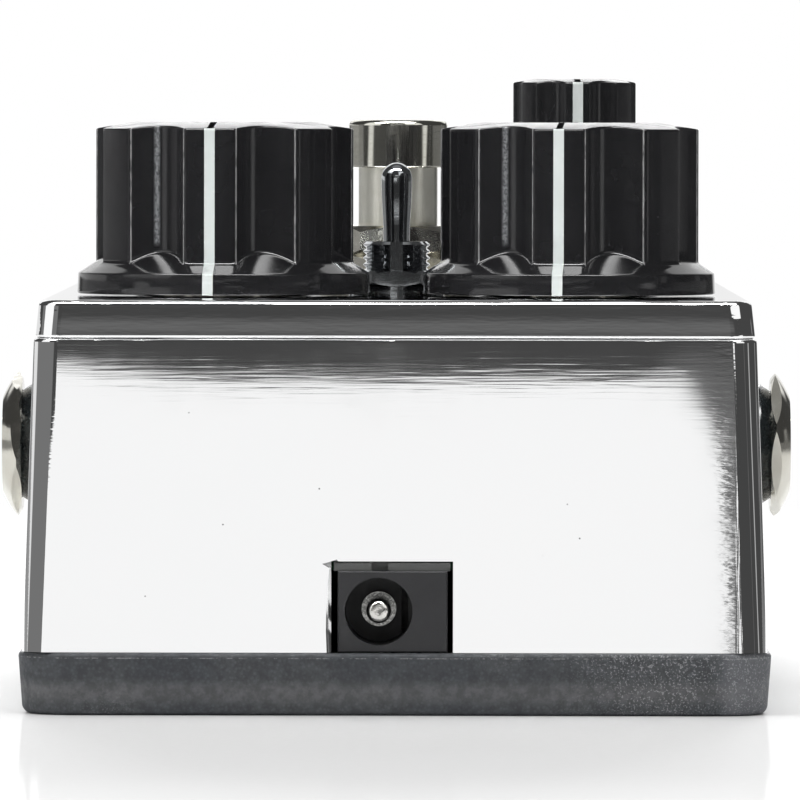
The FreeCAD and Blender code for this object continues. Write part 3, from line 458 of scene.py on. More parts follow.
def chrome_plate():
    """Polished plating: long polishing lines, a wavy rim band, pits and hazy patches."""
    material, t = new_tree("chrome_plate")
    place = t.place()
    x, y, z = t.split(place)
    rim_low = (LID_Z - RIM_HEIGHT) * MM
    on_rim = t.ramp(z, rim_low - 0.1 * MM, rim_low + 0.1 * MM)
    lines = t.noise(t.stretch(place, POLISH_LINES), 1.0, 2.0, 0.55, 0.3)
    lines = t.math("MULTIPLY", lines, t.math("ADD", t.math("MULTIPLY", on_rim, RIM_LINE_GAIN), 1.0))
    waves = t.noise(t.stretch(place, LONG_WAVES), 1.0, 2.0)
    height = t.math("ADD", lines, t.math("MULTIPLY", waves, WAVE_HEIGHT))
    mottle = t.noise(t.stretch(place, RIM_MOTTLE), 1.0, 3.0, 0.6)
    mottle = t.math("MULTIPLY", mottle, t.math("MULTIPLY", on_rim, MOTTLE_HEIGHT))
    height = t.math("ADD", height, mottle)
    height = t.math("ADD", height, wall_ticks(t, place, x))
    height = t.math("ADD", height, rim_swell(t, z, rim_low, on_rim))
    # towards the left end the wall leans a little outwards
    lean = t.math("MULTIPLY", t.ramp(x, LEAN_X[0] * MM, LEAN_X[1] * MM, WALL_LEAN, 0.0), z)
    normal = t.bump(t.math("ADD", height, lean), CHROME_STEP)
    pits = t.spots(place, 420.0, 0.045, 260.0, (0.62, 0.66))
    haze = t.noise(place, 60.0, 4.0, 0.6)
    rough = t.ramp(haze, 0.35, 0.8, 0.012, 0.03)
    rough = t.math("ADD", rough, t.math("MULTIPLY", pits, 0.35))
    tint = t.mix(haze, (0.90, 0.905, 0.91, 1.0), (0.93, 0.93, 0.93, 1.0))
    colour = t.mix(pits, tint, (0.28, 0.28, 0.28, 1.0))
    t.surface(colour, rough, 1.0, normal)
    return material


BOOT_BULGE_HIGHLIGHT_Z = (1.3, 3.0)        # painted highlight: paler band where the boot's side bulges
BOOT_SCUFF_X = (29.5, 31.5)      # scuffed right end
BOOT_WORN_LIP = (0.50, 0.42)     # worn line, below the lip's top
PEBBLES = 2600.0


def rubber():
    """Moulded rubber with a leathery grain, a painted highlight band where the side bulges and a worn line
    along the lip.
    """
    material, t = new_tree("boot_rubber")
    place = t.place()
    x, y, z = t.split(place)
    grain = t.cells(place, PEBBLES)
    coarse = t.noise(place, 1100.0, 5.0, 0.65)
    patch = t.noise(place, 90.0, 4.0, 0.6)
    height = t.math("ADD", t.math("MULTIPLY", grain, 0.5), coarse)
    normal = t.bump(height, 0.00006, 0.7)
    colour = t.mix(t.ramp(patch, 0.32, 0.68), linear(66, 69, 73), linear(78, 80, 82))
    pebbles = t.ramp(grain, 0.1, 0.6)
    colour = t.mix(t.math("MULTIPLY", pebbles, 0.4), colour, linear(44, 46, 49))
    # painted highlight: paler band along the bulge of the side
    bulge_highlight = t.band(z, BOOT_BULGE_HIGHLIGHT_Z[0] * MM, BOOT_BULGE_HIGHLIGHT_Z[1] * MM, 0.6 * MM)
    colour = t.mix(t.math("MULTIPLY", bulge_highlight, 0.5), colour, linear(100, 100, 100))
    fine = t.ramp(coarse, 0.35, 0.65)
    colour = t.mix(t.math("MULTIPLY", fine, 0.45), colour, linear(46, 47, 49))
    scuffed = t.ramp(x, BOOT_SCUFF_X[0] * MM, BOOT_SCUFF_X[1] * MM)
    colour = t.mix(t.math("MULTIPLY", scuffed, 0.4), colour, linear(116, 117, 121))
    worn_zone = t.math("MAXIMUM", t.ramp(t.noise(place, 45.0, 2.0), 0.5, 0.7), scuffed)
    dust = t.ramp(t.noise(place, 5200.0, 2.0, 0.6), 0.54, 0.68)
    dust = t.math("MULTIPLY", t.math("MULTIPLY", dust, worn_zone), 0.5)
    colour = t.mix(dust, colour, linear(160, 160, 162))
    lip_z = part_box("rubber_boot")[1].z
    lip = t.band(z, lip_z - BOOT_WORN_LIP[0] * MM, lip_z - BOOT_WORN_LIP[1] * MM, 0.04 * MM)
    wear_and_edge_highlight = t.math("MULTIPLY", lip, t.ramp(t.noise(place, 1800.0, 4.0, 0.7), 0.45, 0.62))
    colour = t.mix(t.math("MULTIPLY", wear_and_edge_highlight, 0.45), colour, linear(170, 170, 170))
    rough = t.ramp(coarse, 0.3, 0.7, 0.5, 0.7)
    t.surface(colour, rough, 0.0, normal, Specular_IOR_Level=0.2)
    return material


FLUTE_HIGHLIGHT_WIDTH = (0.20, 0.46)      # where the painted highlight line starts and ends fading, from its middle
FLUTE_HIGHLIGHT_FROM = (4.6, 5.4)         # heights above the lid over which it comes in
EDGE_HIGHLIGHT_FADE = (0.03, 0.08)         # where the painted highlight on a lobe edge starts and ends fading


def flute_highlight_line(t, place):
    """1 along one upright painted highlight line in a front flute of each big knob, else 0."""
    x, y, z = t.split(place)
    total = None
    for which in ("left", "right"):
        centre = middle("pot_shaft_" + which)
        angle = math.radians(-90.0 - FLUTE_HIGHLIGHT_ANGLE + KNOB_TURN_DEG[which])
        line_x = (centre.x + FLUTE_HIGHLIGHT_R * math.cos(angle)) * MM
        line_y = (centre.y + FLUTE_HIGHLIGHT_R * math.sin(angle)) * MM
        gap = t.reach(x, y, (line_x, line_y))[2]
        near = t.ramp(gap, FLUTE_HIGHLIGHT_WIDTH[0] * MM, FLUTE_HIGHLIGHT_WIDTH[1] * MM, 1.0, 0.0)
        total = near if total is None else t.math("MAXIMUM", total, near)
    above = t.ramp(z, (LID_Z + FLUTE_HIGHLIGHT_FROM[0]) * MM, (LID_Z + FLUTE_HIGHLIGHT_FROM[1]) * MM)
    return t.math("MULTIPLY", total, above)


def lobe_edge_highlights(t, place):
    """1 on the thin edges of the big knobs' lobes, where a painted highlight goes, else 0."""
    x, y, z = t.split(place)
    period = 2 * math.pi / LOBES
    grip = BIG_KNOB["grip_r"]
    total = None
    for which in ("left", "right"):
        centre = middle("pot_shaft_" + which)
        off_x, off_y, radius = t.reach(x, y, (centre.x * MM, centre.y * MM))
        angle = t.math("ARCTAN2", off_y, off_x)
        # counted from the pointer, and kept above 0 for the modulo
        angle = t.math("ADD", angle, 2.5 * math.pi + period / 2 - math.radians(KNOB_TURN_DEG[which]))
        phase = t.math("SUBTRACT", t.math("MODULO", angle, period), period / 2)
        gap = t.math("ABSOLUTE", t.math("SUBTRACT", t.math("ABSOLUTE", phase), LOBE_HALF))
        line = t.ramp(t.math("MULTIPLY", gap, radius), EDGE_HIGHLIGHT_FADE[0] * MM, EDGE_HIGHLIGHT_FADE[1] * MM, 1.0, 0.0)
        rim = t.band(radius, (grip - 0.5) * MM, (grip + 0.1) * MM, 0.01 * MM)
        line = t.math("MULTIPLY", line, rim)
        total = line if total is None else t.math("MAXIMUM", total, line)
    return total


def knob_plastic():
    """Glossy black moulding with fine dust, flow lines, a painted highlight line in one flute and painted
    highlights along the lobe edges.
    """
    material, t = new_tree("knob_plastic")
    place = t.place()
    flow = t.noise(t.stretch(place, (1600.0, 1600.0, 900.0)), 1.0, 3.0, 0.6)
    specks = t.spots(place, 900.0, 0.05, 350.0, (0.64, 0.68))
    normal = t.bump(flow, 0.0000030)
    colour = t.mix(t.noise(place, 200.0), (0.010, 0.010, 0.011, 1.0), (0.016, 0.016, 0.017, 1.0))
    colour = t.mix(t.math("MULTIPLY", specks, 0.6), colour, (0.4, 0.4, 0.4, 1.0))
    # painted highlight along the lobe edges, broken up by noise
    wear_and_edge_highlight = t.math("MULTIPLY", lobe_edge_highlights(t, place), t.ramp(t.noise(place, 800.0, 3.0), 0.3, 0.55, 0.3, 1.0))
    colour = t.mix(t.math("MULTIPLY", wear_and_edge_highlight, 0.75), colour, (0.32, 0.32, 0.32, 1.0))
    crinkle = t.noise(t.stretch(place, (4200.0, 4200.0, 3200.0)), 1.0, 4.0, 0.7, 0.6)
    crinkle = t.ramp(crinkle, 0.38, 0.62, 0.25, 1.0)
    # painted highlight in a front flute, with a crinkled texture
    flute_highlight = t.math("MULTIPLY", flute_highlight_line(t, place), crinkle)
    colour = t.mix(t.math("MULTIPLY", flute_highlight, 0.75), colour, (0.33, 0.34, 0.35, 1.0))
    rough = t.ramp(t.noise(place, 500.0, 4.0, 0.6), 0.3, 0.8, 0.07, 0.14)
    t.surface(colour, rough, 0.0, normal)
    return material


def pointer_paint():
    """White filled line with small stains and a slightly uneven surface."""
    material, t = new_tree("pointer_paint")
    place = t.place()
    stain = t.ramp(t.noise(place, 380.0, 3.0, 0.6), 0.60, 0.74)
    colour = t.mix(t.noise(place, 150.0), linear(200, 207, 205), linear(214, 218, 216))
    colour = t.mix(t.math("MULTIPLY", stain, 0.5), colour, linear(150, 150, 152))
    normal = t.bump(t.noise(place, 1400.0, 3.0), 0.00002, 0.6)
    t.surface(colour, 0.25, 0.0, normal, Specular_IOR_Level=0.2)
    return material


MACHINING = (500.0, 500.0, 2500.0)         # noise scales along X, Y and Z
MACHINING_DEPTH = 0.000002
GRAIN = 2200.0
GRAIN_DEPTH = 0.00001


def machined(t, place):
    """Normal with fine level machining lines."""
    return t.bump(t.noise(t.stretch(place, MACHINING), 1.0, 3.0, 0.6), MACHINING_DEPTH)


def plated(name, light, dark, rough=(0.06, 0.16)):
    """Plated metal with machining streaks and uneven gloss."""
    material, t = new_tree(name)
    place = t.place()
    cloud = t.noise(place, 300.0, 4.0, 0.6)
    colour = t.mix(t.ramp(cloud, 0.3, 0.75), light, dark)
    gloss = t.ramp(t.noise(place, 700.0, 3.0), 0.3, 0.75, *rough)
    t.surface(colour, gloss, 1.0, machined(t, place))
    return material


def moulded(name, light, dark, rough=(0.4, 0.6)):
    """Plastic or painted surface with a fine grain."""
    material, t = new_tree(name)
    place = t.place()
    fine = t.noise(place, GRAIN, 4.0, 0.6)
    colour = t.mix(t.ramp(t.noise(place, GRAIN / 8.0, 3.0), 0.3, 0.7), light, dark)
    t.surface(colour, t.ramp(fine, 0.3, 0.7, *rough), 0.0, t.bump(fine, GRAIN_DEPTH))
    return material


BOARD_EDGE_Y = (-57.4, -57.0)    # bare edge in front of this
CAP_FOOT = (11.8, 11.95)         # foot of the foot switch's cap, above the lid
FLANGE_R = (1.05, 1.15)          # the inlet pin's flange begins here


def board():
    """Green circuit board with a bare grey edge at the inlet."""
    material, t = new_tree("board")
    place = t.place()
    x, y, z = t.split(place)
    fine = t.noise(place, 600.0, 4.0, 0.6)
    green = t.mix(t.ramp(t.noise(place, 75.0, 3.0), 0.3, 0.7), linear(22, 84, 48), linear(16, 66, 38))
    bare = t.mix(fine, linear(78, 80, 80), linear(100, 100, 98))
    front = t.ramp(y, BOARD_EDGE_Y[0] * MM, BOARD_EDGE_Y[1] * MM, 1.0, 0.0)
    t.surface(t.mix(front, green, bare), t.ramp(fine, 0.3, 0.7, 0.4, 0.6), 0.0, t.bump(fine, GRAIN_DEPTH))
    return material


def switch_cap():
    """Plated push button: bright cap, satin stem below it."""
    material, t = new_tree("switch_cap")
    place = t.place()
    x, y, z = t.split(place)
    cloud = t.noise(place, 300.0, 4.0, 0.6)
    colour = t.mix(t.ramp(cloud, 0.3, 0.75), (0.70, 0.695, 0.63, 1.0), (0.62, 0.61, 0.54, 1.0))
    stem = t.ramp(z, (LID_Z + CAP_FOOT[0]) * MM, (LID_Z + CAP_FOOT[1]) * MM, 1.0, 0.0)
    rough = t.ramp(stem, 0.0, 1.0, 0.09, 0.3)
    t.surface(colour, rough, 1.0, machined(t, place))
    return material


def inlet_pin():
    """Plated pin: bright end, dull speckled flange."""
    material, t = new_tree("inlet_pin")
    place = t.place()
    x, y, z = t.split(place)
    axis = middle("dc_jack_pin")
    radius = t.reach(x, z, (axis.x * MM, axis.z * MM))[2]
    flange = t.ramp(radius, FLANGE_R[0] * MM, FLANGE_R[1] * MM)
    specks = t.ramp(t.noise(place, 4500.0, 3.0, 0.7), 0.42, 0.6)
    spots = t.ramp(t.noise(place, 1500.0, 2.0), 0.55, 0.62)
    end = t.mix(t.math("MULTIPLY", spots, 0.8), (0.85, 0.84, 0.80, 1.0), (0.16, 0.16, 0.15, 1.0))
    dull = t.mix(specks, (0.26, 0.26, 0.25, 1.0), (0.62, 0.62, 0.60, 1.0))
    gloss = t.ramp(flange, 0.0, 1.0, 0.1, 0.25)
    t.surface(t.mix(flange, end, dull), gloss, 1.0, t.bump(specks, 0.000004))
    return material


def led_lens():
    """Dark red lens, a little see-through."""
    material, t = new_tree("led_lens")
    place = t.place()
    cloud = t.noise(place, 900.0, 3.0)
    colour = t.mix(cloud, linear(44, 20, 20), linear(60, 26, 24))
    normal = t.bump(cloud, 0.000004)
    t.surface(colour, 0.12, 0.0, normal, Transmission_Weight=0.35)
    return material


def slot_materials():
    """One material for each slot of the record."""
    nickel = ((0.70, 0.685, 0.62, 1.0), (0.62, 0.60, 0.53, 1.0))
    tin = ((0.62, 0.62, 0.60, 1.0), (0.50, 0.50, 0.48, 1.0))
    steel = ((0.55, 0.55, 0.54, 1.0), (0.45, 0.45, 0.44, 1.0))
    return {
        "chrome_plate": chrome_plate(),
        "boot_rubber": rubber(),
        "knob_plastic": knob_plastic(),
        "pointer_paint": pointer_paint(),
        "led_lens": led_lens(),
        "nickel": plated("nickel", *nickel),
        "dark_chrome": plated("dark_chrome", (0.56, 0.58, 0.59, 1.0), (0.46, 0.48, 0.50, 1.0), (0.04, 0.1)),
        "pin_nickel": plated("pin_nickel", (0.78, 0.77, 0.74, 1.0), (0.66, 0.65, 0.62, 1.0), (0.12, 0.22)),
        "plate_steel": plated("plate_steel", *steel, rough=(0.25, 0.4)),
        "screw_steel": plated("screw_steel", *steel, rough=(0.2, 0.32)),
        "set_screw_steel": plated("set_screw_steel", *steel, rough=(0.2, 0.35)),
        "shaft_alloy": plated("shaft_alloy", *tin, rough=(0.2, 0.35)),
        "pot_steel": plated("pot_steel", *steel, rough=(0.2, 0.35)),
        "lug_tin": plated("lug_tin", *tin, rough=(0.25, 0.4)),
        "spring_steel": plated("spring_steel", *steel, rough=(0.15, 0.3)),
        "jack_steel": plated("jack_steel", *tin, rough=(0.18, 0.3)),
        "phenolic": moulded("phenolic", linear(140, 92, 50), linear(116, 74, 40)),
        "toggle_red": moulded("toggle_red", linear(150, 28, 24), linear(130, 22, 20)),
        "switch_blue": moulded("switch_blue", linear(24, 62, 140), linear(20, 52, 120)),
        "jack_collar": moulded("jack_collar", linear(30, 36, 38), linear(22, 26, 28), (0.18, 0.3)),
        "inlet_plastic": moulded("inlet_plastic", linear(42, 42, 44), linear(36, 36, 38), (0.32, 0.45)),
        "board": board(),
        "capacitor_sleeve": moulded("capacitor_sleeve", linear(30, 34, 70), linear(24, 28, 60), (0.3, 0.4)),
        "capacitor_film": moulded("capacitor_film", linear(150, 40, 30), linear(130, 34, 26), (0.3, 0.4)),
        "chip_epoxy": moulded("chip_epoxy", linear(34, 34, 36), linear(26, 26, 28), (0.5, 0.65)),
        "resistor_body": moulded("resistor_body", linear(196, 170, 122), linear(180, 152, 104), (0.35, 0.5)),
        "battery_case": moulded("battery_case", linear(60, 62, 70), linear(50, 52, 58), (0.25, 0.4)),
        "snap_plastic": moulded("snap_plastic", linear(30, 30, 30), linear(24, 24, 24), (0.5, 0.7)),
        "wire_jacket": moulded("wire_jacket", linear(170, 30, 26), linear(150, 24, 22), (0.3, 0.4)),
        "ribbon_jacket": moulded("ribbon_jacket", linear(176, 178, 182), linear(160, 162, 166), (0.35, 0.5)),
    }


def dress_nodes(materials):
    """Give every CAD node the material of its slot and true normals on its flats."""
    # painted shade: the contact leaf inside the inlet's hole is made near black
    shaded_leaf = plated("inlet_leaf_painted_shade", (0.06, 0.06, 0.06, 1.0), (0.03, 0.03, 0.03, 1.0), (0.3, 0.4))
    special = {"footswitch_button": switch_cap(), "dc_jack_pin": inlet_pin(), "dc_jack_contact": shaded_leaf}
    for label, node in NODES.items():
        slots = [material.name.split(".")[0] for material in node.data.materials]
        for index, name in enumerate(slots):
            node.data.materials[index] = special.get(label, materials[name])
        weighted = node.modifiers.new("flats", "WEIGHTED_NORMAL")
        weighted.keep_sharp = True
        weighted.weight = 100


# ---- mesh helpers -------------------------------------------------------------------

def make_object(name, points, faces, material, sharp_deg=None):
    """Mesh object from points in millimetres."""
    mesh = bpy.data.meshes.new(name)
    mesh.from_pydata([Vector(point) * MM for point in points], [], faces)
    shape = bmesh.new()
    shape.from_mesh(mesh)
    bmesh.ops.remove_doubles(shape, verts=shape.verts, dist=1e-7)
    bmesh.ops.recalc_face_normals(shape, faces=shape.faces)
    shape.to_mesh(mesh)
    shape.free()
    mesh.shade_smooth()
    if sharp_deg is not None:
        mesh.set_sharp_from_angle(angle=math.radians(sharp_deg))
    mesh.materials.append(material)
    made = bpy.data.objects.new(name, mesh)
    bpy.context.scene.collection.objects.link(made)
    return made


def cut_away(piece, cutters, sharp_deg):
    """Subtract closed meshes from a piece, then remove them."""
    for cutter in cutters:
        modifier = piece.modifiers.new("cut", "BOOLEAN")
        modifier.operation = "DIFFERENCE"
        modifier.solver = "EXACT"
        modifier.object = cutter
    bpy.context.view_layer.update()
    result = bpy.data.meshes.new_from_object(piece.evaluated_get(bpy.context.evaluated_depsgraph_get()))
    piece.modifiers.clear()
    piece.data = result
    result.set_sharp_from_angle(angle=math.radians(sharp_deg))
    for cutter in cutters:
        bpy.data.objects.remove(cutter)


def grid_faces(rows, columns, closed=True):
    """Quads of a grid of points stored row by row."""
    faces = []
    wrap = columns if closed else columns - 1
    for row in range(rows - 1):
        for column in range(wrap):
            following = (column + 1) % columns
            low = row * columns
            high = low + columns
            faces.append((low + column, low + following, high + following, high + column))
    return faces


def capped_faces(rows, columns):
    """Quads of a closed grid with a face over its first and its last row."""
    faces = grid_faces(rows, columns)
    faces.append(tuple(range(columns)))
    faces.append(tuple((rows - 1) * columns + column for column in range(columns)))
    return faces


def turned_mesh(name, outline, at, material, columns, sharp_deg=30):
    """Closed body of revolution about a vertical axis from (radius, height) points."""
    points = []
    for radius, height in outline:
        for column in range(columns):
            angle = 2 * math.pi * column / columns
            points.append((at[0] + radius * math.cos(angle), at[1] + radius * math.sin(angle), height))
    return make_object(name, points, capped_faces(len(outline), columns), material, sharp_deg)


def arc(centre, radius, start_deg, end_deg, steps):
    """Points of an arc in an outline, (radius, height) pairs."""
    points = []
    for step in range(steps + 1):
        angle = math.radians(start_deg + (end_deg - start_deg) * step / steps)
        points.append((centre[0] + radius * math.cos(angle), centre[1] + radius * math.sin(angle)))
    return points


# ---- knobs --------------------------------------------------------------------------

def grip_radius(size, angle):
    """Distance from the axis to the fluted outline, with the lobe edges a little rounded."""
    period = 2 * math.pi / LOBES
    r = size["grip_r"]
    half_flute = period / 2 - LOBE_HALF
    chord = r * math.sin(half_flute)
    sag = r * math.cos(half_flute) - (r - size["flute"])
    bend = (chord ** 2 + sag ** 2) / (2 * sag)
    centre = r - size["flute"] + bend
    total = 0.0
    spread = math.radians(1.3)
    samples = 9
    for index in range(samples):
        at = angle + math.pi / 2 + spread * (2 * index / (samples - 1) - 1)
        phase = (at + period / 2) % period - period / 2
        off_valley = period / 2 - abs(phase)
        if off_valley >= half_flute:
            total += r
        else:
            across = centre * math.sin(off_valley)
            total += centre * math.cos(off_valley) - math.sqrt(bend ** 2 - across ** 2)
    return total / samples


def soft_max(a, b, width):
    """The larger of two values, with a fillet of about the given width between them."""
    gap = max(width - abs(a - b), 0.0) / width
    return max(a, b) + gap * gap * width / 4


KNOB_EDGE = 0.12                 # rounding of the skirt's foot
KNOB_SHOULDER = 1.6 * KNOB_EDGE  # rounding of the skirt's top edge
SKIRT_LEAN = 0.08
KNOB_BEVEL = 0.2                 # rounding of the grip's top edge
CONE_STEPS = 26
COLUMNS_PER_LOBE = 44
GROOVE_HALF = 0.3                # half width of the short groove behind the pointer
GROOVE_DEPTH = 0.75
SCREW_HOLE_R = 1.5


def knob_column(size, angle):
    """Outline of the knob's outside at one angle, from the foot up to the middle of the top."""
    grip = grip_radius(size, angle)
    skirt_r = size["skirt_r"]
    foot = size["foot_z"]
    slope = size["cone_slope"]
    plateau_r = size["plateau_r"]
    plateau_z = size["plateau_z"]
    points = [(size["recess_r"], foot)]
    points += arc((skirt_r - KNOB_EDGE, foot + KNOB_EDGE), KNOB_EDGE, -90, 0, 3)
    shoulder = (skirt_r - SKIRT_LEAN - KNOB_SHOULDER, size["skirt_top"] - KNOB_SHOULDER)
    points += arc(shoulder, KNOB_SHOULDER, 0, 58, 4)
    cone_r, cone_z = points[-1]
    # the cone runs on to inside the flutes' floor, so the grip rises out of it all round
    rise = (cone_r - (size["grip_r"] - size["flute"] - 0.4)) * slope + 0.5
    for step in range(1, CONE_STEPS + 1):
        climbed = rise * step / CONE_STEPS
        points.append((soft_max(cone_r - climbed / slope, grip, size["smooth"] / slope), cone_z + climbed))
    crown_slope = (plateau_z - size["edge_z"]) / (size["grip_r"] - KNOB_BEVEL - plateau_r)
    edge_z = plateau_z - (grip - KNOB_BEVEL - plateau_r) * crown_slope
    # rows just above the cone and just below the bevel keep the shading of the grip flat
    points.append((grip, points[-1][1] + 0.1))
    points.append((grip, edge_z - KNOB_BEVEL - 0.06))
    points += arc((grip - KNOB_BEVEL, edge_z - KNOB_BEVEL), KNOB_BEVEL, 0, 82, 5)
    points.append((plateau_r + 0.3, plateau_z - 0.3 * crown_slope))
    points.append((plateau_r - 0.3, plateau_z))
    points.append((plateau_r * 0.5, plateau_z))
    return points


def box_mesh(name, low, high, material):
    """Closed box between two corners."""
    points = [(x, y, z) for x in (low[0], high[0]) for y in (low[1], high[1]) for z in (low[2], high[2])]
    faces = [(0, 1, 3, 2), (4, 6, 7, 5), (0, 4, 5, 1), (2, 3, 7, 6), (0, 2, 6, 4), (1, 5, 7, 3)]
    return make_object(name, points, faces, material)


def build_knob(which, size, materials):
    """Knob body about its own axis, with its socket, set screw hole and top groove."""
    columns = LOBES * COLUMNS_PER_LOBE
    inner = [(0.001, size["bore_top"]), (SHAFT_BORE_R, size["bore_top"]),
             (SHAFT_BORE_R, size["recess_z"]), (size["recess_r"], size["recess_z"])]
    angles = [2 * math.pi * column / columns for column in range(columns)]
    outlines = [inner + knob_column(size, angle) for angle in angles]
    rows = len(outlines[0])
    points = []
    for row in range(rows):
        for angle, outline in zip(angles, outlines):
            radius, height = outline[row]
            points.append((radius * math.cos(angle), radius * math.sin(angle), height))
    faces = capped_faces(rows, columns)
    knob = make_object("knob_" + which + "_grip", points, faces, materials["knob_plastic"])
    groove_low = (-GROOVE_HALF, -size["grip_r"] - 1, size["plateau_z"] - GROOVE_DEPTH)
    groove_high = (GROOVE_HALF, -size["plateau_r"] + 0.6, size["plateau_z"] + 1)
    groove = box_mesh("groove", groove_low, groove_high, materials["knob_plastic"])
    outline = [(SCREW_HOLE_R, 0.0), (SCREW_HOLE_R, size["grip_r"] + 1.0)]
    hole = turned_mesh("hole", outline, (0, 0), materials["knob_plastic"], 32)
    hole.data.transform(turn_to_back(size["screw_z"]))
    cut_away(knob, [groove, hole], 32)
    return knob


def turn_to_back(height):
    """Matrix that lays an upright shape along +Y at the given height in millimetres."""
    return Matrix.Translation((0, 0, height * MM)) @ Matrix.Rotation(math.radians(-90), 4, "X")


POINTER_PROUD = 0.035
POINTER_DEPTH = 0.3
POINTER_COLUMNS = 7


def build_pointer(which, size, materials):
    """White line down the front of a knob, a hair proud of the plastic, closed at the back."""
    columns = POINTER_COLUMNS
    outline = knob_column(size, -math.pi / 2)[1:-3]
    outer = []
    inner = []
    for radius, height in outline:
        for column in range(columns):
            x = POINTER_W * (column / (columns - 1) - 0.5)
            out = radius + POINTER_PROUD
            outer.append((x, -math.sqrt(out ** 2 - x ** 2), height))
            inner.append((x, -(radius - POINTER_DEPTH), height))
    rows = len(outline)
    faces = grid_faces(rows, columns, closed=False)
    shift = rows * columns
    faces += [tuple(shift + index for index in reversed(face)) for face in faces]
    for row in range(rows - 1):
        for column in (0, columns - 1):
            a = row * columns + column
            b = a + columns
            faces.append((a, b, b + shift, a + shift))
    for column in range(columns - 1):
        for row in (0, rows - 1):
            a = row * columns + column
            faces.append((a, a + 1, a + 1 + shift, a + shift))
    return make_object("pointer_" + which + "_line", outer + inner, faces, materials["pointer_paint"], 40)


def build_knobs(materials):
    """The three knobs and their pointers, each turned to its place on the lid."""
    for which, size in (("left", BIG_KNOB), ("right", BIG_KNOB), ("small", SMALL_KNOB)):
        centre = middle("pot_shaft_" + which)
        place = Matrix.Translation((centre.x * MM, centre.y * MM, LID_Z * MM))
        place = place @ Matrix.Rotation(math.radians(KNOB_TURN_DEG[which]), 4, "Z")
        knob = build_knob(which, size, materials)
        pointer = build_pointer(which, size, materials)
        for piece, node, slot in ((knob, "knob_" + which, "knob_plastic"),
                                  (pointer, "pointer_" + which, "pointer_paint")):
            piece.data.transform(place)
            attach(piece, which + "_knob")
            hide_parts(node)


# ---- rubber boot --------------------------------------------------------------------

BOOT_LIP_R = 0.45
BOOT_FOOT_R = 0.9
BOOT_TAPER = 0.33
BOOT_CORNER_R = 5.2
BOOT_WALL = 1.42
BOOT_TRAY_Z = 2.0
SCREW_HEAD_R = 3.2
ACCESS_R = 4.2                   # holes under the screw heads
ACCESS_Z = (-1.0, 3.0)
ROUND_STEPS = 12


def rounded_ring(half_x, half_y, radius, height):
    """Points round a rectangle with round corners."""
    points = []
    for side_x, side_y, start in ((1, 1, 0), (-1, 1, 90), (-1, -1, 180), (1, -1, 270)):
        for step in range(ROUND_STEPS + 1):
            angle = math.radians(start + 90.0 * step / ROUND_STEPS)
            points.append((side_x * (half_x - radius) + radius * math.cos(angle),
                           side_y * (half_y - radius) + radius * math.sin(angle), height))
    return points


def build_boot(materials):
    """Rubber tray with a rolled lip and a round foot, open above, with screw holes below."""
    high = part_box("rubber_boot")[1] / MM
    outline = [(BOOT_WALL, BOOT_TRAY_Z), (BOOT_WALL, high.z)]
    lip = arc((-BOOT_LIP_R, high.z - BOOT_LIP_R), BOOT_LIP_R, 90, -8, 10)
    foot = arc((-BOOT_TAPER - BOOT_FOOT_R, BOOT_FOOT_R), BOOT_FOOT_R, -4, -90, 10)
    outline += [(-out, height) for out, height in lip + foot]
    points = []
    for inset, height in outline:
        points += rounded_ring(high.x - inset, high.y - inset, BOOT_CORNER_R - inset, height)
    columns = len(points) // len(outline)
    faces = capped_faces(len(outline), columns)
    boot = make_object("boot_tray", points, faces, materials["boot_rubber"])
    holes = []
    screws = middle("base_screws")
    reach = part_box("base_screws")[1] / MM - screws
    outline = [(ACCESS_R, height) for height in ACCESS_Z]
    for side_x in (-1, 1):
        for side_y in (-1, 1):
            at = (screws.x + side_x * (reach.x - SCREW_HEAD_R), screws.y + side_y * (reach.y - SCREW_HEAD_R))
            holes.append(turned_mesh("access", outline, at, materials["boot_rubber"], 40))
    cut_away(boot, holes, 40)
    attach(boot, "casing")
    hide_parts("rubber_boot")


# ---- toggle lever -------------------------------------------------------------------

LEVER_TIP_R = 1.47
LEVER_NECK_R = 1.26
LEVER_BALL_R = 1.7
LEVER_TAIL_R = 0.75
LEVER_PIVOT = 2.4                # above the lid
SWELL_STEPS = 8


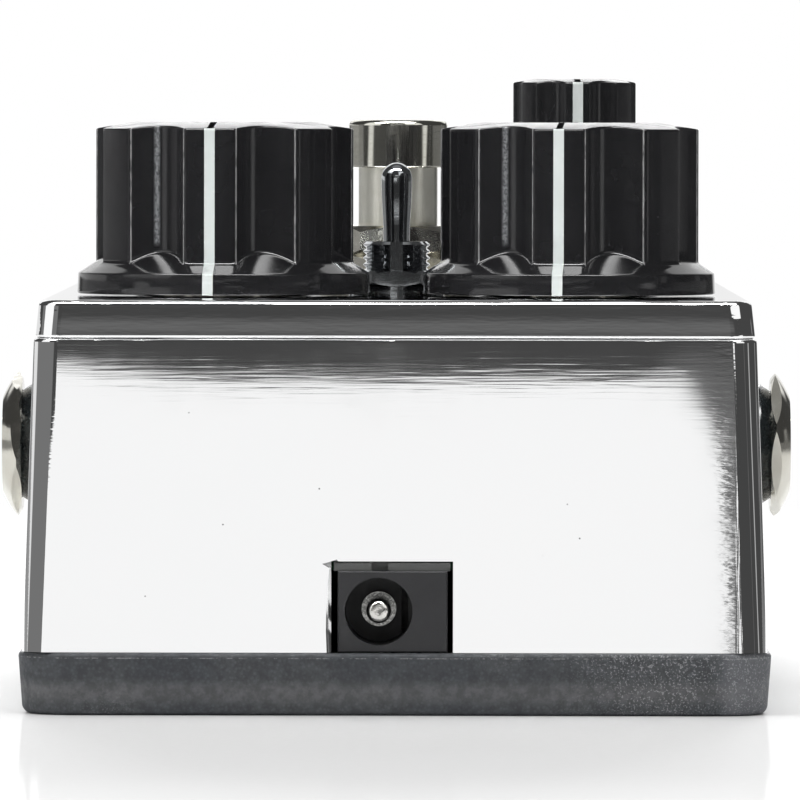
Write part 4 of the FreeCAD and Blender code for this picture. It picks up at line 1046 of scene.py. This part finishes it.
def build_lever(materials):
    """Bat lever: thin tail, ball at the pivot, slim neck that swells to a round tip."""
    low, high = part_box("toggle_lever")
    at = middle("toggle_lever")
    top = high.z / MM
    pivot = LID_Z + LEVER_PIVOT
    outline = [(LEVER_TAIL_R, low.z / MM), (LEVER_TAIL_R, pivot - 1.52)]
    outline += arc((0.0, pivot), LEVER_BALL_R, -63, 44, 10)
    outline.append((LEVER_NECK_R, pivot + 1.5))
    swell_low = pivot + 3.0
    swell_high = top - LEVER_TIP_R - 0.6
    for step in range(SWELL_STEPS + 1):
        share = step / SWELL_STEPS
        ease = share * share * (3 - 2 * share)
        radius = LEVER_NECK_R + (LEVER_TIP_R - LEVER_NECK_R) * ease
        outline.append((radius, swell_low + (swell_high - swell_low) * share))
    outline += arc((0.0, top - LEVER_TIP_R), LEVER_TIP_R, 0, 84, 12)
    lever = turned_mesh("toggle_bat", outline, (at.x, at.y), materials["dark_chrome"], 72, 40)
    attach(lever, "toggle")
    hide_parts("toggle_lever")


# ---- foot switch spring --------------------------------------------------------------

SPRING_COIL_R = 3.1
SPRING_WIRE_R = 0.4
SPRING_TURNS = 4
STEPS_PER_TURN = 28
WIRE_SIDES = 10


def build_spring(materials):
    """Coil spring of the foot switch."""
    low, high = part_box("footswitch_spring")
    at = middle("footswitch_spring")
    bottom = low.z / MM + SPRING_WIRE_R
    rise = high.z / MM - SPRING_WIRE_R - bottom
    steps = SPRING_TURNS * STEPS_PER_TURN
    points = []
    for step in range(steps + 1):
        turn = 2 * math.pi * SPRING_TURNS * step / steps
        height = bottom + rise * step / steps
        for side in range(WIRE_SIDES):
            angle = 2 * math.pi * side / WIRE_SIDES
            radius = SPRING_COIL_R + SPRING_WIRE_R * math.cos(angle)
            points.append((at.x + radius * math.cos(turn), at.y + radius * math.sin(turn),
                           height + SPRING_WIRE_R * math.sin(angle)))
    faces = capped_faces(steps + 1, WIRE_SIDES)
    spring = make_object("footswitch_coil", points, faces, materials["spring_steel"], 50)
    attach(spring, "casing")
    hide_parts("footswitch_spring")
    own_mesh(spring)


# ---- assembly -----------------------------------------------------------------------

build_camera()
build_world()
build_floor()
all_materials = slot_materials()
dress_nodes(all_materials)
build_knobs(all_materials)
build_lever(all_materials)
build_boot(all_materials)
build_spring(all_materials)
